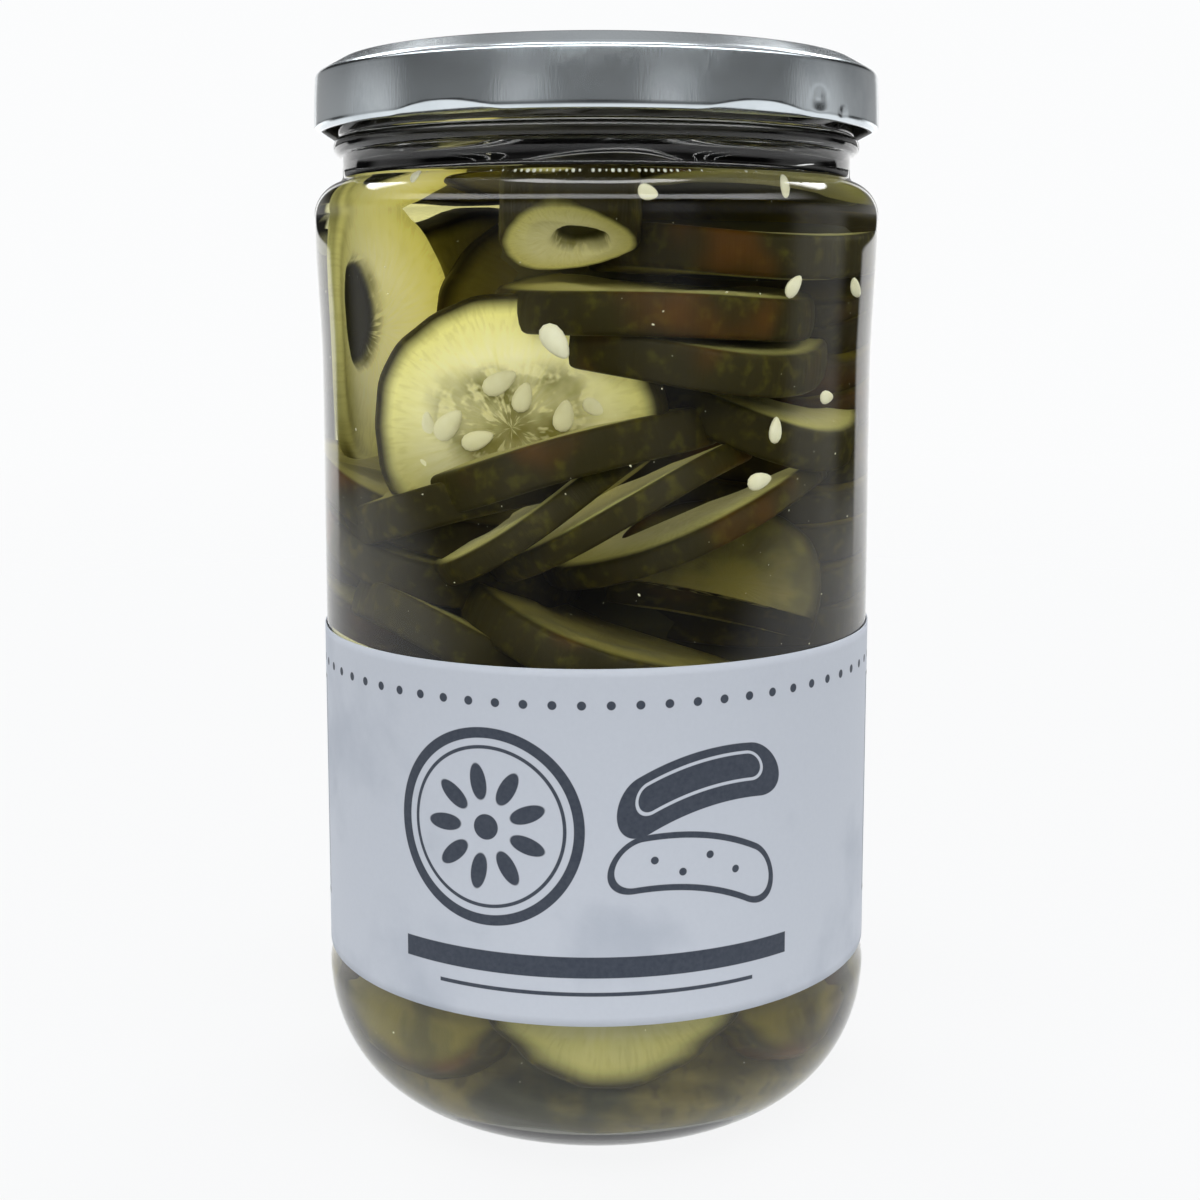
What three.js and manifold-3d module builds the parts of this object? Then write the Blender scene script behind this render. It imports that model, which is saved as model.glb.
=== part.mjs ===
// A shut glass jar of sliced pickles, with a twist-off metal lid and a paper label wrapped round it.
// Millimetres and degrees, +Z up. The origin is the centre of the base, and the label's front faces -Y.
// A bearing round the jar is counted from the front, -Y, towards +X.
import * as THREE from "three";
import { mergeVertices } from "three/addons/utils/BufferGeometryUtils.js";
import Module from "manifold-3d";

const wasm = await Module();
wasm.setup();

// Glass jar, outside
const PANEL_RADIUS = 42;
const HEEL_RADIUS = 42.4;
const HEEL_WIDTH = 16.2;
const HEEL_HEIGHT = 19.9;
const FOOT_WIDTH = 3.2;
const PUNT_HEIGHT = 2.6;
const PANEL_BOTTOM = 22.4;
const PANEL_TOP = 112;
const SHOULDER_RADIUS = 42.75;
const SHOULDER_HEIGHT = 135;
const SHOULDER_ARC = 5.4;
const SHOULDER_SWEEP = 70;
const NECK_RADIUS = 38.4;
const BEAD_HEIGHT = 145.4;
const BEAD_REACH = 1.3;
const BEAD_HALF = 1.5;
const FINISH_RADIUS = 38.9;
const JAR_HEIGHT = 156.8;
const RIM_ROUND = 1.2;

// Glass jar, inside
const WALL = 2.9;
const FLOOR_HEIGHT = 4.2;
const FLOOR_CROWN = 0.9;
const INNER_HEEL_WIDTH = 13.2;
const INNER_HEEL_HEIGHT = 16.2;
const MOUTH_RADIUS = 36.1;

// Threads on the glass that the lid's lugs turn under
const LUG_COUNT = 6;
const FIRST_LUG_BEARING = 31;
const THREAD_RADIUS = 1.2;
const THREAD_LOW = 147.2;
const THREAD_RISE = 4.3;
const THREAD_START = 9;
const THREAD_SPAN = 46;

// Twist-off lid
const LID_RADIUS = 42.5;
const LID_BOTTOM = 147.3;
const LID_TOP = 157.7;
const LID_SHEET = 0.6;
const CURL_WIDTH = 1.8;
const CURL_HEIGHT = 2;
const SKIRT_DRAFT = 0.25;
const KNEE_ROUND = 0.9;
const KNEE_HEIGHT = 155.1;
const KNEE_SWEEP = 58;
const TOP_RING_RADIUS = 38.4;
const TOP_RING_WIDTH = 2;
const TOP_RING_ROUND = 0.8;
const LID_PANEL_RADIUS = 34.6;
const LID_PANEL_DROP = 1.1;
const BUTTON_RADIUS = 15;
const BUTTON_DROP = 0.7;
const LUG_SLOPE = 0.6;
const LUG_HALF_WIDTH = 12.5;
const LUG_HEIGHT = 1.6;

// Paper label
const LABEL_BOTTOM = 23.8;
const LABEL_TOP = 73.8;
const LABEL_GAP = 0.1;
const LABEL_SHEET = 0.2;
const LABEL_WRAP = 270;
const LABEL_SLOPE = 0.0055;

// Pickle slices and the heap that they make
const BRINE_LEVEL = 140.4;
const SLICE_THICKNESS = 6;
const SLICE_SIDES = 14;
const CORE_RADIUS = 20;
const CORE_OFFSET = 9;
const CORE_WOBBLE = 1.2;
const CORE_MARGIN = 14;
const HEAP_CLEARANCE = 0.5;
const HEAP_SIMPLIFY = 0.05;
const TUCK_ROUNDS = 12;
const TUCK_POINTS = 12;
const TILT_JITTER = 3;
const HEIGHT_JITTER = 0.5;

const ROUND_SEGMENTS = 48;
const LID_SEGMENTS = 60;
const CORE_SEGMENTS = 16;

const radians = THREE.MathUtils.degToRad;
const innerRadius = PANEL_RADIUS - WALL;

// Points of an elliptical arc in the profile plane, x being the radius and y the height
function arc(centre, size, fromDegrees, toDegrees, steps) {
  return Array.from({ length: steps + 1 }, (_, i) => {
    const angle = radians(fromDegrees + ((toDegrees - fromDegrees) * i) / steps);
    return new THREE.Vector2(centre[0] + size[0] * Math.cos(angle), centre[1] + size[1] * Math.sin(angle));
  });
}

// A profile turned about the jar's axis, with that axis along +Z
function turned(profile, segments) {
  const points = profile.map((p) => (Array.isArray(p) ? new THREE.Vector2(...p) : p));
  return new THREE.LatheGeometry(points, segments).rotateX(Math.PI / 2);
}

// The point on the circle of that radius at that bearing and height
function around(radius, bearing, height) {
  const angle = radians(bearing);
  return new THREE.Vector3(radius * Math.sin(angle), -radius * Math.cos(angle), height);
}

// A closed geometry as a solid that can be joined and cut
function solidOf(geometry) {
  const bare = geometry.clone();
  bare.deleteAttribute("normal");
  bare.deleteAttribute("uv");
  const merged = mergeVertices(bare, 1e-4);
  const index = merged.index.array;
  const kept = [];
  for (let i = 0; i < index.length; i += 3) {
    const [a, b, c] = index.slice(i, i + 3);
    if (a !== b && b !== c && c !== a) kept.push(a, b, c);
  }
  const vertProperties = merged.attributes.position.array;
  return new wasm.Manifold(new wasm.Mesh({ numProp: 3, vertProperties, triVerts: new Uint32Array(kept) }));
}

function geometryOf(solid) {
  const mesh = solid.getMesh();
  return new THREE.BufferGeometry()
    .setAttribute("position", new THREE.BufferAttribute(mesh.vertProperties, 3))
    .setIndex(new THREE.BufferAttribute(mesh.triVerts, 1));
}

function part(name, geometry, finish) {
  geometry.computeVertexNormals();
  const mesh = new THREE.Mesh(geometry, new THREE.MeshStandardMaterial(finish));
  mesh.name = name;
  return mesh;
}

// Glass jar: a blown body with a round heel, a recessed label panel, a short shoulder and a lug-thread neck
function jarOutside() {
  const footRadius = HEEL_RADIUS - HEEL_WIDTH;
  const puntRadius = footRadius - FOOT_WIDTH;
  const punt = [0, 0.6].map((share) => [puntRadius * share, PUNT_HEIGHT * (1 - share * share)]);
  const shoulderCentre = [SHOULDER_RADIUS - SHOULDER_ARC, SHOULDER_HEIGHT];
  const shoulder = arc(shoulderCentre, [SHOULDER_ARC, SHOULDER_ARC], 0, SHOULDER_SWEEP, 4);
  const shoulderEnd = shoulder.at(-1);
  const fillet = (shoulderEnd.x - NECK_RADIUS) / (1 - Math.cos(radians(SHOULDER_SWEEP)));
  const neckBottom = shoulderEnd.y + fillet * Math.sin(radians(SHOULDER_SWEEP));
  const flare = [0.3, 0.7].map((share) => [
    THREE.MathUtils.lerp(PANEL_RADIUS, SHOULDER_RADIUS, THREE.MathUtils.smoothstep(share, 0, 1)),
    THREE.MathUtils.lerp(PANEL_TOP, SHOULDER_HEIGHT, share),
  ]);
  return [
    ...punt,
    [puntRadius, 0],
    ...arc([footRadius, HEEL_HEIGHT], [HEEL_WIDTH, HEEL_HEIGHT], -90, 0, 7),
    [PANEL_RADIUS, PANEL_BOTTOM],
    [PANEL_RADIUS, PANEL_TOP],
    ...flare,
    ...shoulder,
    ...arc([NECK_RADIUS + fillet, neckBottom], [fillet, fillet], 180 + SHOULDER_SWEEP / 2, 180, 1),
    ...arc([NECK_RADIUS, BEAD_HEIGHT], [BEAD_REACH, BEAD_HALF], -90, 75, 4),
    [FINISH_RADIUS, BEAD_HEIGHT + BEAD_HALF],
    ...arc([FINISH_RADIUS - RIM_ROUND, JAR_HEIGHT - RIM_ROUND], [RIM_ROUND, RIM_ROUND], 0, 90, 2),
  ];
}

// The hollow of the jar from the rim down to the middle of the floor
function jarInside() {
  const heelCentre = [innerRadius - INNER_HEEL_WIDTH, FLOOR_HEIGHT + INNER_HEEL_HEIGHT];
  return [
    ...arc([MOUTH_RADIUS + RIM_ROUND, JAR_HEIGHT - RIM_ROUND], [RIM_ROUND, RIM_ROUND], 90, 180, 2),
    [MOUTH_RADIUS, SHOULDER_HEIGHT + SHOULDER_ARC],
    ...arc([MOUTH_RADIUS, SHOULDER_HEIGHT], [innerRadius - MOUTH_RADIUS, SHOULDER_ARC], 60, 0, 2),
    ...arc(heelCentre, [INNER_HEEL_WIDTH, INNER_HEEL_HEIGHT], 0, -90, 5),
    [0, FLOOR_HEIGHT + FLOOR_CROWN],
  ];
}

// One thread: a bead that rises round the neck and sinks into the glass at both ends
function thread(lugBearing) {
  const steps = 8;
  const path = Array.from({ length: steps + 1 }, (_, i) => {
    const share = i / steps;
    const sink = THREE.MathUtils.lerp(THREAD_RADIUS, 0, Math.min(1, 4 * share, 4 * (1 - share)));
    const height = THREAD_LOW + THREAD_RISE * THREE.MathUtils.smoothstep(share, 0, 0.9);
    return around(FINISH_RADIUS - sink, lugBearing + THREAD_START + THREAD_SPAN * share, height);
  });
  const section = new THREE.Shape().absarc(0, 0, THREAD_RADIUS, 0, 2 * Math.PI);
  return new THREE.ExtrudeGeometry(section, {
    steps: 12,
    curveSegments: 2,
    bevelEnabled: false,
    extrudePath: new THREE.CatmullRomCurve3(path),
  });
}

function lugBearings() {
  return Array.from({ length: LUG_COUNT }, (_, i) => FIRST_LUG_BEARING + (360 * i) / LUG_COUNT);
}

function jar() {
  const body = solidOf(turned([...jarOutside(), ...jarInside()], ROUND_SEGMENTS));
  return geometryOf(lugBearings().reduce((glass, bearing) => glass.add(solidOf(thread(bearing))), body));
}

// Lid: thin sheet pressed with a raised sealing ring, a sunken panel, a vacuum button and a rolled-in edge
function lidProfile() {
  const skirtTop = LID_RADIUS - SKIRT_DRAFT;
  const panelTop = LID_TOP - LID_PANEL_DROP;
  const ringInner = TOP_RING_RADIUS - TOP_RING_WIDTH;
  const curlCentre = [LID_RADIUS - CURL_WIDTH / 2, LID_BOTTOM + CURL_HEIGHT / 2];
  const crown = [
    [BUTTON_RADIUS - 1.5, panelTop - BUTTON_DROP],
    [BUTTON_RADIUS, panelTop],
    [LID_PANEL_RADIUS, panelTop],
    [ringInner, LID_TOP],
    [TOP_RING_RADIUS, LID_TOP],
  ];
  const underside = crown.map(([radius, height]) => [radius, height - LID_SHEET]);
  const knee = arc([skirtTop - KNEE_ROUND, KNEE_HEIGHT], [KNEE_ROUND, KNEE_ROUND], 4, KNEE_SWEEP, 2);
  const ringCentre = [TOP_RING_RADIUS, LID_TOP - TOP_RING_ROUND];
  const ringEdge = arc(ringCentre, [TOP_RING_ROUND, TOP_RING_ROUND], KNEE_SWEEP, 90, 2).slice(0, -1);
  const rim = [...knee, ...ringEdge].map((point) => point.toArray());
  const rimInside = rim.toReversed().map(([radius, height]) => [radius - LID_SHEET, height - LID_SHEET]);
  return [
    [0, panelTop - BUTTON_DROP - LID_SHEET],
    ...underside,
    ...rimInside,
    [skirtTop - LID_SHEET, LID_BOTTOM + CURL_HEIGHT + LID_SHEET],
    ...arc(curlCentre, [CURL_WIDTH / 2, CURL_HEIGHT / 2], 110, 360, 5),
    [LID_RADIUS, LID_BOTTOM + LUG_HEIGHT],
    [LID_RADIUS - SKIRT_DRAFT / 4, (LID_BOTTOM + KNEE_HEIGHT) / 2],
    ...rim,
    ...crown.toReversed(),
    [0, panelTop - BUTTON_DROP],
  ];
}

// Presses the skirt's foot inwards at each lug, most at the rolled edge
function pressLugs(geometry) {
  const position = geometry.getAttribute("position");
  const point = new THREE.Vector3();
  for (let i = 0; i < position.count; i++) {
    point.fromBufferAttribute(position, i);
    const bearing = THREE.MathUtils.radToDeg(Math.atan2(point.x, -point.y));
    const pitch = 360 / LUG_COUNT;
    const turns = (bearing - FIRST_LUG_BEARING) / pitch;
    const offset = Math.abs(turns - Math.round(turns)) * pitch;
    const hill = LUG_HEIGHT * Math.max(0, 1 - (offset / LUG_HALF_WIDTH) ** 2);
    const press = LUG_SLOPE * Math.max(0, hill - (point.z - LID_BOTTOM));
    const radius = Math.hypot(point.x, point.y);
    const share = radius > 0 ? (radius - press) / radius : 1;
    position.setXYZ(i, point.x * share, point.y * share, point.z);
  }
  return geometry;
}

function lid() {
  return pressLugs(turned(lidProfile(), LID_SEGMENTS));
}

// Label: one strip of paper, open at the back, laid on the panel a little out of level
function label() {
  const low = PANEL_RADIUS + LABEL_GAP;
  const high = low + LABEL_SHEET;
  const outline = [
    [low, LABEL_BOTTOM],
    [high, LABEL_BOTTOM],
    [high, LABEL_TOP],
    [low, LABEL_TOP],
  ];
  const steps = Math.round((ROUND_SEGMENTS * LABEL_WRAP) / 360);
  const ring = Array.from({ length: steps + 1 }, (_, i) => (360 / ROUND_SEGMENTS) * (i - steps / 2));
  const corners = ring.flatMap((bearing) =>
    outline.flatMap(([radius, height]) => {
      const point = around(radius, bearing, height);
      return [point.x, point.y, point.z + LABEL_SLOPE * point.x];
    }),
  );
  const faces = [0, 1, 3, 1, 2, 3];
  const sides = outline.length;
  for (let i = 0; i < steps; i++) {
    for (let j = 0; j < sides; j++) {
      const a = i * sides + j;
      const b = i * sides + ((j + 1) % sides);
      faces.push(a, a + sides, b, b, a + sides, b + sides);
    }
  }
  const last = steps * sides;
  faces.push(last, last + 3, last + 1, last + 1, last + 3, last + 2);
  return new THREE.BufferGeometry()
    .setAttribute("position", new THREE.Float32BufferAttribute(corners, 3))
    .setIndex(faces);
}

// Where the slices lie. A stack starts at a bearing, a distance out from the axis and a height, and each
// further slice moves on by the steps. Tilt turns a slice from flat, 0, to upright, 90, with its upper face
// looking towards the lean bearing.
const SLICE_STACKS = [
  { count: 1, bearing: 70, out: 19, height: 130, tilt: 3, lean: 85, radius: 19.4 },
  { count: 1, bearing: 24, out: 18, height: 122.8, tilt: 5, lean: 25, radius: 20.4 },
  { count: 1, bearing: 33, out: 19, height: 115.6, tilt: 7, lean: 55, radius: 19.4 },
  { count: 1, bearing: 58, out: 22, height: 106.5, tilt: 17, lean: 72, radius: 16.4 },
  { count: 1, bearing: -12, out: 19, height: 101, tilt: 18, lean: -88, radius: 19.4 },
  { count: 1, bearing: -50, out: 19.3, height: 95.5, tilt: 15, lean: -88, radius: 18.6 },
  { count: 1, bearing: -18, out: 22, height: 92.6, tilt: 34, lean: -96, radius: 16, thickness: 3.6 },
  { count: 1, bearing: 8, out: 20, height: 93.4, tilt: 29, lean: -89, radius: 19, thickness: 3.6 },
  { count: 1, bearing: 38, out: 18.5, height: 90.6, tilt: 23, lean: -80, radius: 19.4, thickness: 3.6 },
  { count: 1, bearing: 40, out: 24, height: 81, tilt: 50, lean: 18, radius: 14.5 },
  { count: 1, bearing: 0, out: 19.5, height: 73, tilt: 25, lean: 92, radius: 19 },
  { count: 1, bearing: -45, out: 20.5, height: 72.7, tilt: 21, lean: 92, radius: 18 },
  { count: 1, bearing: -24, out: 28, height: 105, tilt: 90, lean: -9, radius: 19.4 },
  { count: 1, bearing: -100.6, out: 28, height: 119, tilt: 90, lean: 62, radius: 20, thickness: 3.2 },
  { count: 1, bearing: -8, out: 22, height: 134.5, tilt: 26, lean: 176, radius: 8.8 },
  { count: 2, bearing: -80, out: 19.5, height: 84, rise: 7, tilt: 14, lean: 70, radius: 19 },
  {
    count: 9, bearing: 105, out: 19.5, height: 77, rise: 7,
    tilt: 12, tiltStep: 2.5, lean: 30, radius: 18.4,
  },
  {
    count: 4, bearing: 190, out: 19.5, height: 79, rise: 7.2,
    tilt: 30, tiltStep: -4, lean: 120, radius: 18.6,
  },
  {
    count: 2, bearing: 150, bearingStep: 56, out: 30, height: 121,
    tilt: 86, lean: 150, leanStep: 56, radius: 15.8,
  },
  {
    count: 3, bearing: -125, out: 19.5, height: 78, rise: 7,
    tilt: 20, tiltStep: -3, lean: -10, radius: 19.4,
  },
  {
    count: 7, bearing: 178, out: 19.5, height: 28, rise: 7.1,
    tilt: 22, tiltStep: -3, lean: -120, radius: 19.2,
  },
  { count: 1, bearing: 6, out: 31, height: 34, tilt: 88, lean: 4, radius: 21.5 },
  { count: 1, bearing: -52, out: 26, height: 27, tilt: 76, lean: -44, radius: 18.5 },
  { count: 1, bearing: 60, out: 26, height: 29, tilt: 78, lean: 54, radius: 18.5 },
  {
    count: 2, bearing: -98, bearingStep: 196, out: 29, height: 28,
    tilt: 80, lean: -98, leanStep: 196, radius: 18.5,
  },
  {
    count: 6, bearing: 52, bearingStep: 60, out: 9, height: 15,
    tilt: 16, lean: 232, leanStep: 60, radius: 19,
  },
  { count: 1, bearing: 178, out: 20, height: 122, tilt: 88, lean: 178, radius: 17.5 },
];

// A repeatable scatter between -1 and 1 for a slice's number and one of its values
function scatter(slice, value) {
  const wave = Math.sin(slice * 12.9898 + value * 78.233) * 43758.5453;
  return 2 * (wave - Math.floor(wave)) - 1;
}

// The hollow's radius that a slice may reach at a height
function heapRadius(height) {
  const heelTop = FLOOR_HEIGHT + INNER_HEEL_HEIGHT;
  const heelShare = Math.min(1, Math.max(0, (heelTop - height) / INNER_HEEL_HEIGHT));
  const heel = INNER_HEEL_WIDTH * (1 - Math.sqrt(1 - heelShare * heelShare));
  const shoulder = THREE.MathUtils.smoothstep(height, SHOULDER_HEIGHT, SHOULDER_HEIGHT + SHOULDER_ARC);
  return innerRadius - heel - shoulder * (innerRadius - MOUTH_RADIUS) - HEAP_CLEARANCE;
}

// Moves a slice in from the wall, up from the floor and down from the brine's surface until it fits
function tuck(slice) {
  const { centre, normal, radius, thickness } = slice;
  const turn = new THREE.Quaternion().setFromUnitVectors(new THREE.Vector3(0, 0, 1), normal);
  const point = new THREE.Vector3();
  for (let round = 0; round < TUCK_ROUNDS; round++) {
    for (let i = 0; i < 2 * TUCK_POINTS; i++) {
      const angle = (2 * Math.PI * i) / TUCK_POINTS;
      const side = i < TUCK_POINTS ? -0.5 : 0.5;
      point.set(radius * Math.cos(angle), radius * Math.sin(angle), side * thickness);
      point.applyQuaternion(turn).add(centre);
      centre.z += Math.max(0, FLOOR_HEIGHT + FLOOR_CROWN + HEAP_CLEARANCE - point.z);
      centre.z -= Math.max(0, point.z - BRINE_LEVEL);
      const reach = Math.hypot(point.x, point.y);
      const excess = Math.max(0, reach - heapRadius(point.z));
      centre.x -= (excess * point.x) / reach;
      centre.y -= (excess * point.y) / reach;
    }
  }
  return slice;
}

// Every slice's centre, facing, radius and thickness
function slices() {
  const made = [];
  for (const stack of SLICE_STACKS) {
    for (let i = 0; i < stack.count; i++) {
      const number = made.length;
      const bearing = stack.bearing + i * (stack.bearingStep ?? 0);
      const lean = stack.lean + i * (stack.leanStep ?? 0);
      const tilt = stack.tilt + i * (stack.tiltStep ?? 0) + TILT_JITTER * scatter(number, 1);
      const height = stack.height + i * (stack.rise ?? 0) + HEIGHT_JITTER * scatter(number, 2);
      const centre = around(stack.out, bearing, height);
      const normal = around(Math.sin(radians(tilt)), lean, Math.cos(radians(tilt)));
      const thickness = stack.thickness ?? SLICE_THICKNESS;
      made.push(tuck({ centre, normal, radius: stack.radius, thickness }));
    }
  }
  return made;
}

function sliceSolid({ centre, normal, radius, thickness }) {
  const disc = new THREE.CylinderGeometry(radius, radius, thickness, SLICE_SIDES).rotateX(Math.PI / 2);
  disc.applyQuaternion(new THREE.Quaternion().setFromUnitVectors(new THREE.Vector3(0, 0, 1), normal));
  return solidOf(disc.translate(centre.x, centre.y, centre.z));
}

// The middle of the heap, a little to the right and back, which no one sees past the slices round it
function coreSolid() {
  const bottom = FLOOR_HEIGHT + FLOOR_CROWN + HEAP_CLEARANCE;
  const top = BRINE_LEVEL - SLICE_THICKNESS;
  const rings = 6;
  const profile = Array.from({ length: rings + 1 }, (_, i) => {
    const height = THREE.MathUtils.lerp(bottom, top, i / rings);
    const radius = Math.min(CORE_RADIUS, heapRadius(height) - CORE_MARGIN);
    return [radius + CORE_WOBBLE * scatter(i, 3), height];
  });
  const column = turned([[0, bottom], ...profile, [0, top]], CORE_SEGMENTS);
  return solidOf(column.translate(CORE_OFFSET, CORE_OFFSET, 0));
}

function heap() {
  const joined = slices().reduce((made, slice) => made.add(sliceSolid(slice)), coreSolid());
  const bodies = joined.asOriginal().simplify(HEAP_SIMPLIFY).decompose();
  return geometryOf(bodies.reduce((most, body) => (body.volume() > most.volume() ? body : most)));
}

const pickleJar = new THREE.Group();
pickleJar.add(
  part("jar", jar(), { color: "#e6ebe4", roughness: 0.05, metalness: 0, transparent: true, opacity: 0.35 }),
  part("lid", lid(), { color: "#b4b8bb", roughness: 0.35, metalness: 1 }),
  part("label", label(), { color: "#c9cdd8", roughness: 0.7, metalness: 0, side: THREE.DoubleSide }),
  part("pickles", heap(), { color: "#7d7a3a", roughness: 0.5, metalness: 0 }),
);

export default pickleJar;
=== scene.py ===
"""A shut glass jar of sliced pickles in dark brine, with a satin metal lid and a printed paper label."""

from functools import partialmethod
import math

import bpy
import numpy as np
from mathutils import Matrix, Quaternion, Vector


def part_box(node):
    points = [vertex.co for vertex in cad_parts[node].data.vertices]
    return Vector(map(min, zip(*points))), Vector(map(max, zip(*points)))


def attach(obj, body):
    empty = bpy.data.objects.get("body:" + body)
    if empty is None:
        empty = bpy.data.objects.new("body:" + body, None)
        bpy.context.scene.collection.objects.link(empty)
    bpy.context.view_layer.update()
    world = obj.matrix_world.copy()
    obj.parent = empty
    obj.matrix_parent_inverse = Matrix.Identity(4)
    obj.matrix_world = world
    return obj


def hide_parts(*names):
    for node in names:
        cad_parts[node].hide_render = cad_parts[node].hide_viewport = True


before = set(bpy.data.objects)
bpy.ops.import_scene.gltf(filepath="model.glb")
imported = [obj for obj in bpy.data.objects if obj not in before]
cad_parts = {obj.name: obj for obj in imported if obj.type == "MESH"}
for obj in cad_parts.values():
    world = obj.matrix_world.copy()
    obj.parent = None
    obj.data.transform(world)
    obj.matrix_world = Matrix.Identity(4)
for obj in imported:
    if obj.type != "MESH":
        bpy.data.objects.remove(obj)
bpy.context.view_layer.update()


# Glass jar
# Clear pressed glass about 3 mm thick, with a round heel, a panel set in a little for the label,
# a short shoulder, and a neck with a bead and six thread ridges that the lid's lugs turn under.
MM = 0.001
jar_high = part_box("jar")[1] / MM
PANEL_RADIUS = 42
HEEL_RADIUS = 42.4
HEEL_WIDTH = 16.2
HEEL_HEIGHT = 19.9
FOOT_WIDTH = 3.2
PUNT_HEIGHT = 2.6
PANEL_BOTTOM = 22.4
PANEL_TOP = 112
SHOULDER_RADIUS = jar_high.x
SHOULDER_HEIGHT = 135
SHOULDER_ARC = 5.4
SHOULDER_SWEEP = 70
NECK_RADIUS = 38.4
BEAD_HEIGHT = 145.4
BEAD_REACH = 1.3
BEAD_HALF = 1.5
FINISH_RADIUS = 38.9
JAR_HEIGHT = jar_high.z
RIM_ROUND = 1.2
WALL = 2.9
INNER_RADIUS = PANEL_RADIUS - WALL
FLOOR_HEIGHT = 4.2
FLOOR_CROWN = 0.9
INNER_HEEL_WIDTH = 13.2
INNER_HEEL_HEIGHT = 16.2
MOUTH_RADIUS = 36.1
LUG_COUNT = 6
FIRST_LUG_BEARING = 31
THREAD_REACH = 0.65
THREAD_HALF = 1.5
THREAD_LOW = 147.2
THREAD_RISE = 4.3
THREAD_START = 9
THREAD_SPAN = 46
KNURL_COUNT = 96
KNURL_DEPTH = 0.3
KNURL_TOP = 1.6
BRINE_LEVEL = 140.4
JAR_SEGMENTS = 384
GLASS_TINT = (0.975, 0.99, 0.975, 1)
GLASS_IOR = 1.5
RIPPLE_SCALE = 38
RIPPLE_STRENGTH = 0.12
RIPPLE_DEPTH = 0.6
FROST = 0.5
FROST_HEIGHTS = (2.2, 1.2)


def arc(centre, size, start, stop, steps):
    """Points (radius, height) along an elliptical arc between two angles in degrees."""
    angles = np.radians(np.linspace(start, stop, steps + 1))
    return np.column_stack((centre[0] + size[0] * np.cos(angles), centre[1] + size[1] * np.sin(angles)))


def smooth_step(values, low, high):
    """0 below low, 1 above high and a smooth ramp between them."""
    share = np.clip((np.asarray(values, float) - low) / (high - low), 0, 1)
    return share * share * (3 - 2 * share)


def turned(profile, segments):
    """Points and faces of a profile turned about the upright axis, with both its ends on that axis."""
    bearings = np.linspace(0, 2 * np.pi, segments, endpoint=False)
    radius, height = profile[1:-1].T
    across = np.outer(radius, np.sin(bearings))
    along = -np.outer(radius, np.cos(bearings))
    rings = np.stack((across, along, np.outer(height, np.ones(segments))), axis=-1)
    poles = [[0, 0, profile[0][1]], [0, 0, profile[-1][1]]]
    points = np.vstack((rings.reshape(-1, 3), poles))
    first, last = len(points) - 2, len(points) - 1
    here = np.arange(segments)
    after = np.roll(here, -1)
    rows = np.arange(len(radius) - 1)[:, None] * segments
    above = rows + segments
    quads = np.stack((rows + here, rows + after, above + after, above + here), axis=-1)
    top = (len(radius) - 1) * segments
    caps = [(first, b, a) for a, b in zip(here, after)]
    caps += [(last, top + a, top + b) for a, b in zip(here, after)]
    return points, quads.reshape(-1, 4).tolist() + [tuple(map(int, cap)) for cap in caps]


def push_out(points, reach, least=1):
    """Moves points away from the upright axis by a reach, or towards it where the reach is below 0."""
    radius = np.maximum(np.hypot(points[:, 0], points[:, 1]), least)
    points[:, :2] *= (1 + reach / radius)[:, None]


def placed(name, data):
    """A new object in the scene."""
    piece = bpy.data.objects.new(name, data)
    bpy.context.scene.collection.objects.link(piece)
    return piece


def keep_values(mesh, name, kind, values):
    """Keeps a value at each point of a mesh."""
    field = "vector" if kind == "FLOAT_VECTOR" else "value"
    mesh.attributes.new(name, kind, "POINT").data.foreach_set(field, np.ravel(values))


def mesh_piece(name, points, faces, material):
    """A smooth mesh object from points in millimetres, with one material."""
    mesh = bpy.data.meshes.new(name)
    mesh.from_pydata((np.asarray(points) * MM).tolist(), [], faces)
    mesh.shade_smooth()
    mesh.materials.append(material)
    return placed(name, mesh)


class Field:
    """A shader socket. Operators between fields and numbers add Math nodes to its tree."""

    def __init__(self, socket):
        self.socket = socket

    def node(self, kind, values, **settings):
        """A new node in the same tree, with the values on its first inputs."""
        node = self.socket.id_data.nodes.new(kind)
        for name, value in settings.items():
            setattr(node, name, value)
        for slot, value in zip(node.inputs, values):
            join(value, slot)
        return Field(node.outputs[0])

    def maths(self, operation, *others):
        return self.node("ShaderNodeMath", (self, *others), operation=operation)

    def ramp(self, low, high):
        """0 at low, 1 at high and smooth between them. low may be the larger."""
        return self.node("ShaderNodeMapRange", (self, low, high), interpolation_type="SMOOTHSTEP")

    def __rsub__(self, other):
        return self.node("ShaderNodeMath", (other, self), operation="SUBTRACT")

    __add__ = __radd__ = partialmethod(maths, "ADD")
    __sub__ = partialmethod(maths, "SUBTRACT")
    __mul__ = __rmul__ = partialmethod(maths, "MULTIPLY")
    __truediv__ = partialmethod(maths, "DIVIDE")
    __pow__ = partialmethod(maths, "POWER")
    __mod__ = partialmethod(maths, "FLOORED_MODULO")
    __abs__ = partialmethod(maths, "ABSOLUTE")
    least = partialmethod(maths, "MINIMUM")
    most = partialmethod(maths, "MAXIMUM")


def join(value, slot):
    """Links a field to a socket, or sets the socket to a plain value."""
    if isinstance(value, Field):
        slot.id_data.links.new(value.socket, slot)
    else:
        slot.default_value = value


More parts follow.
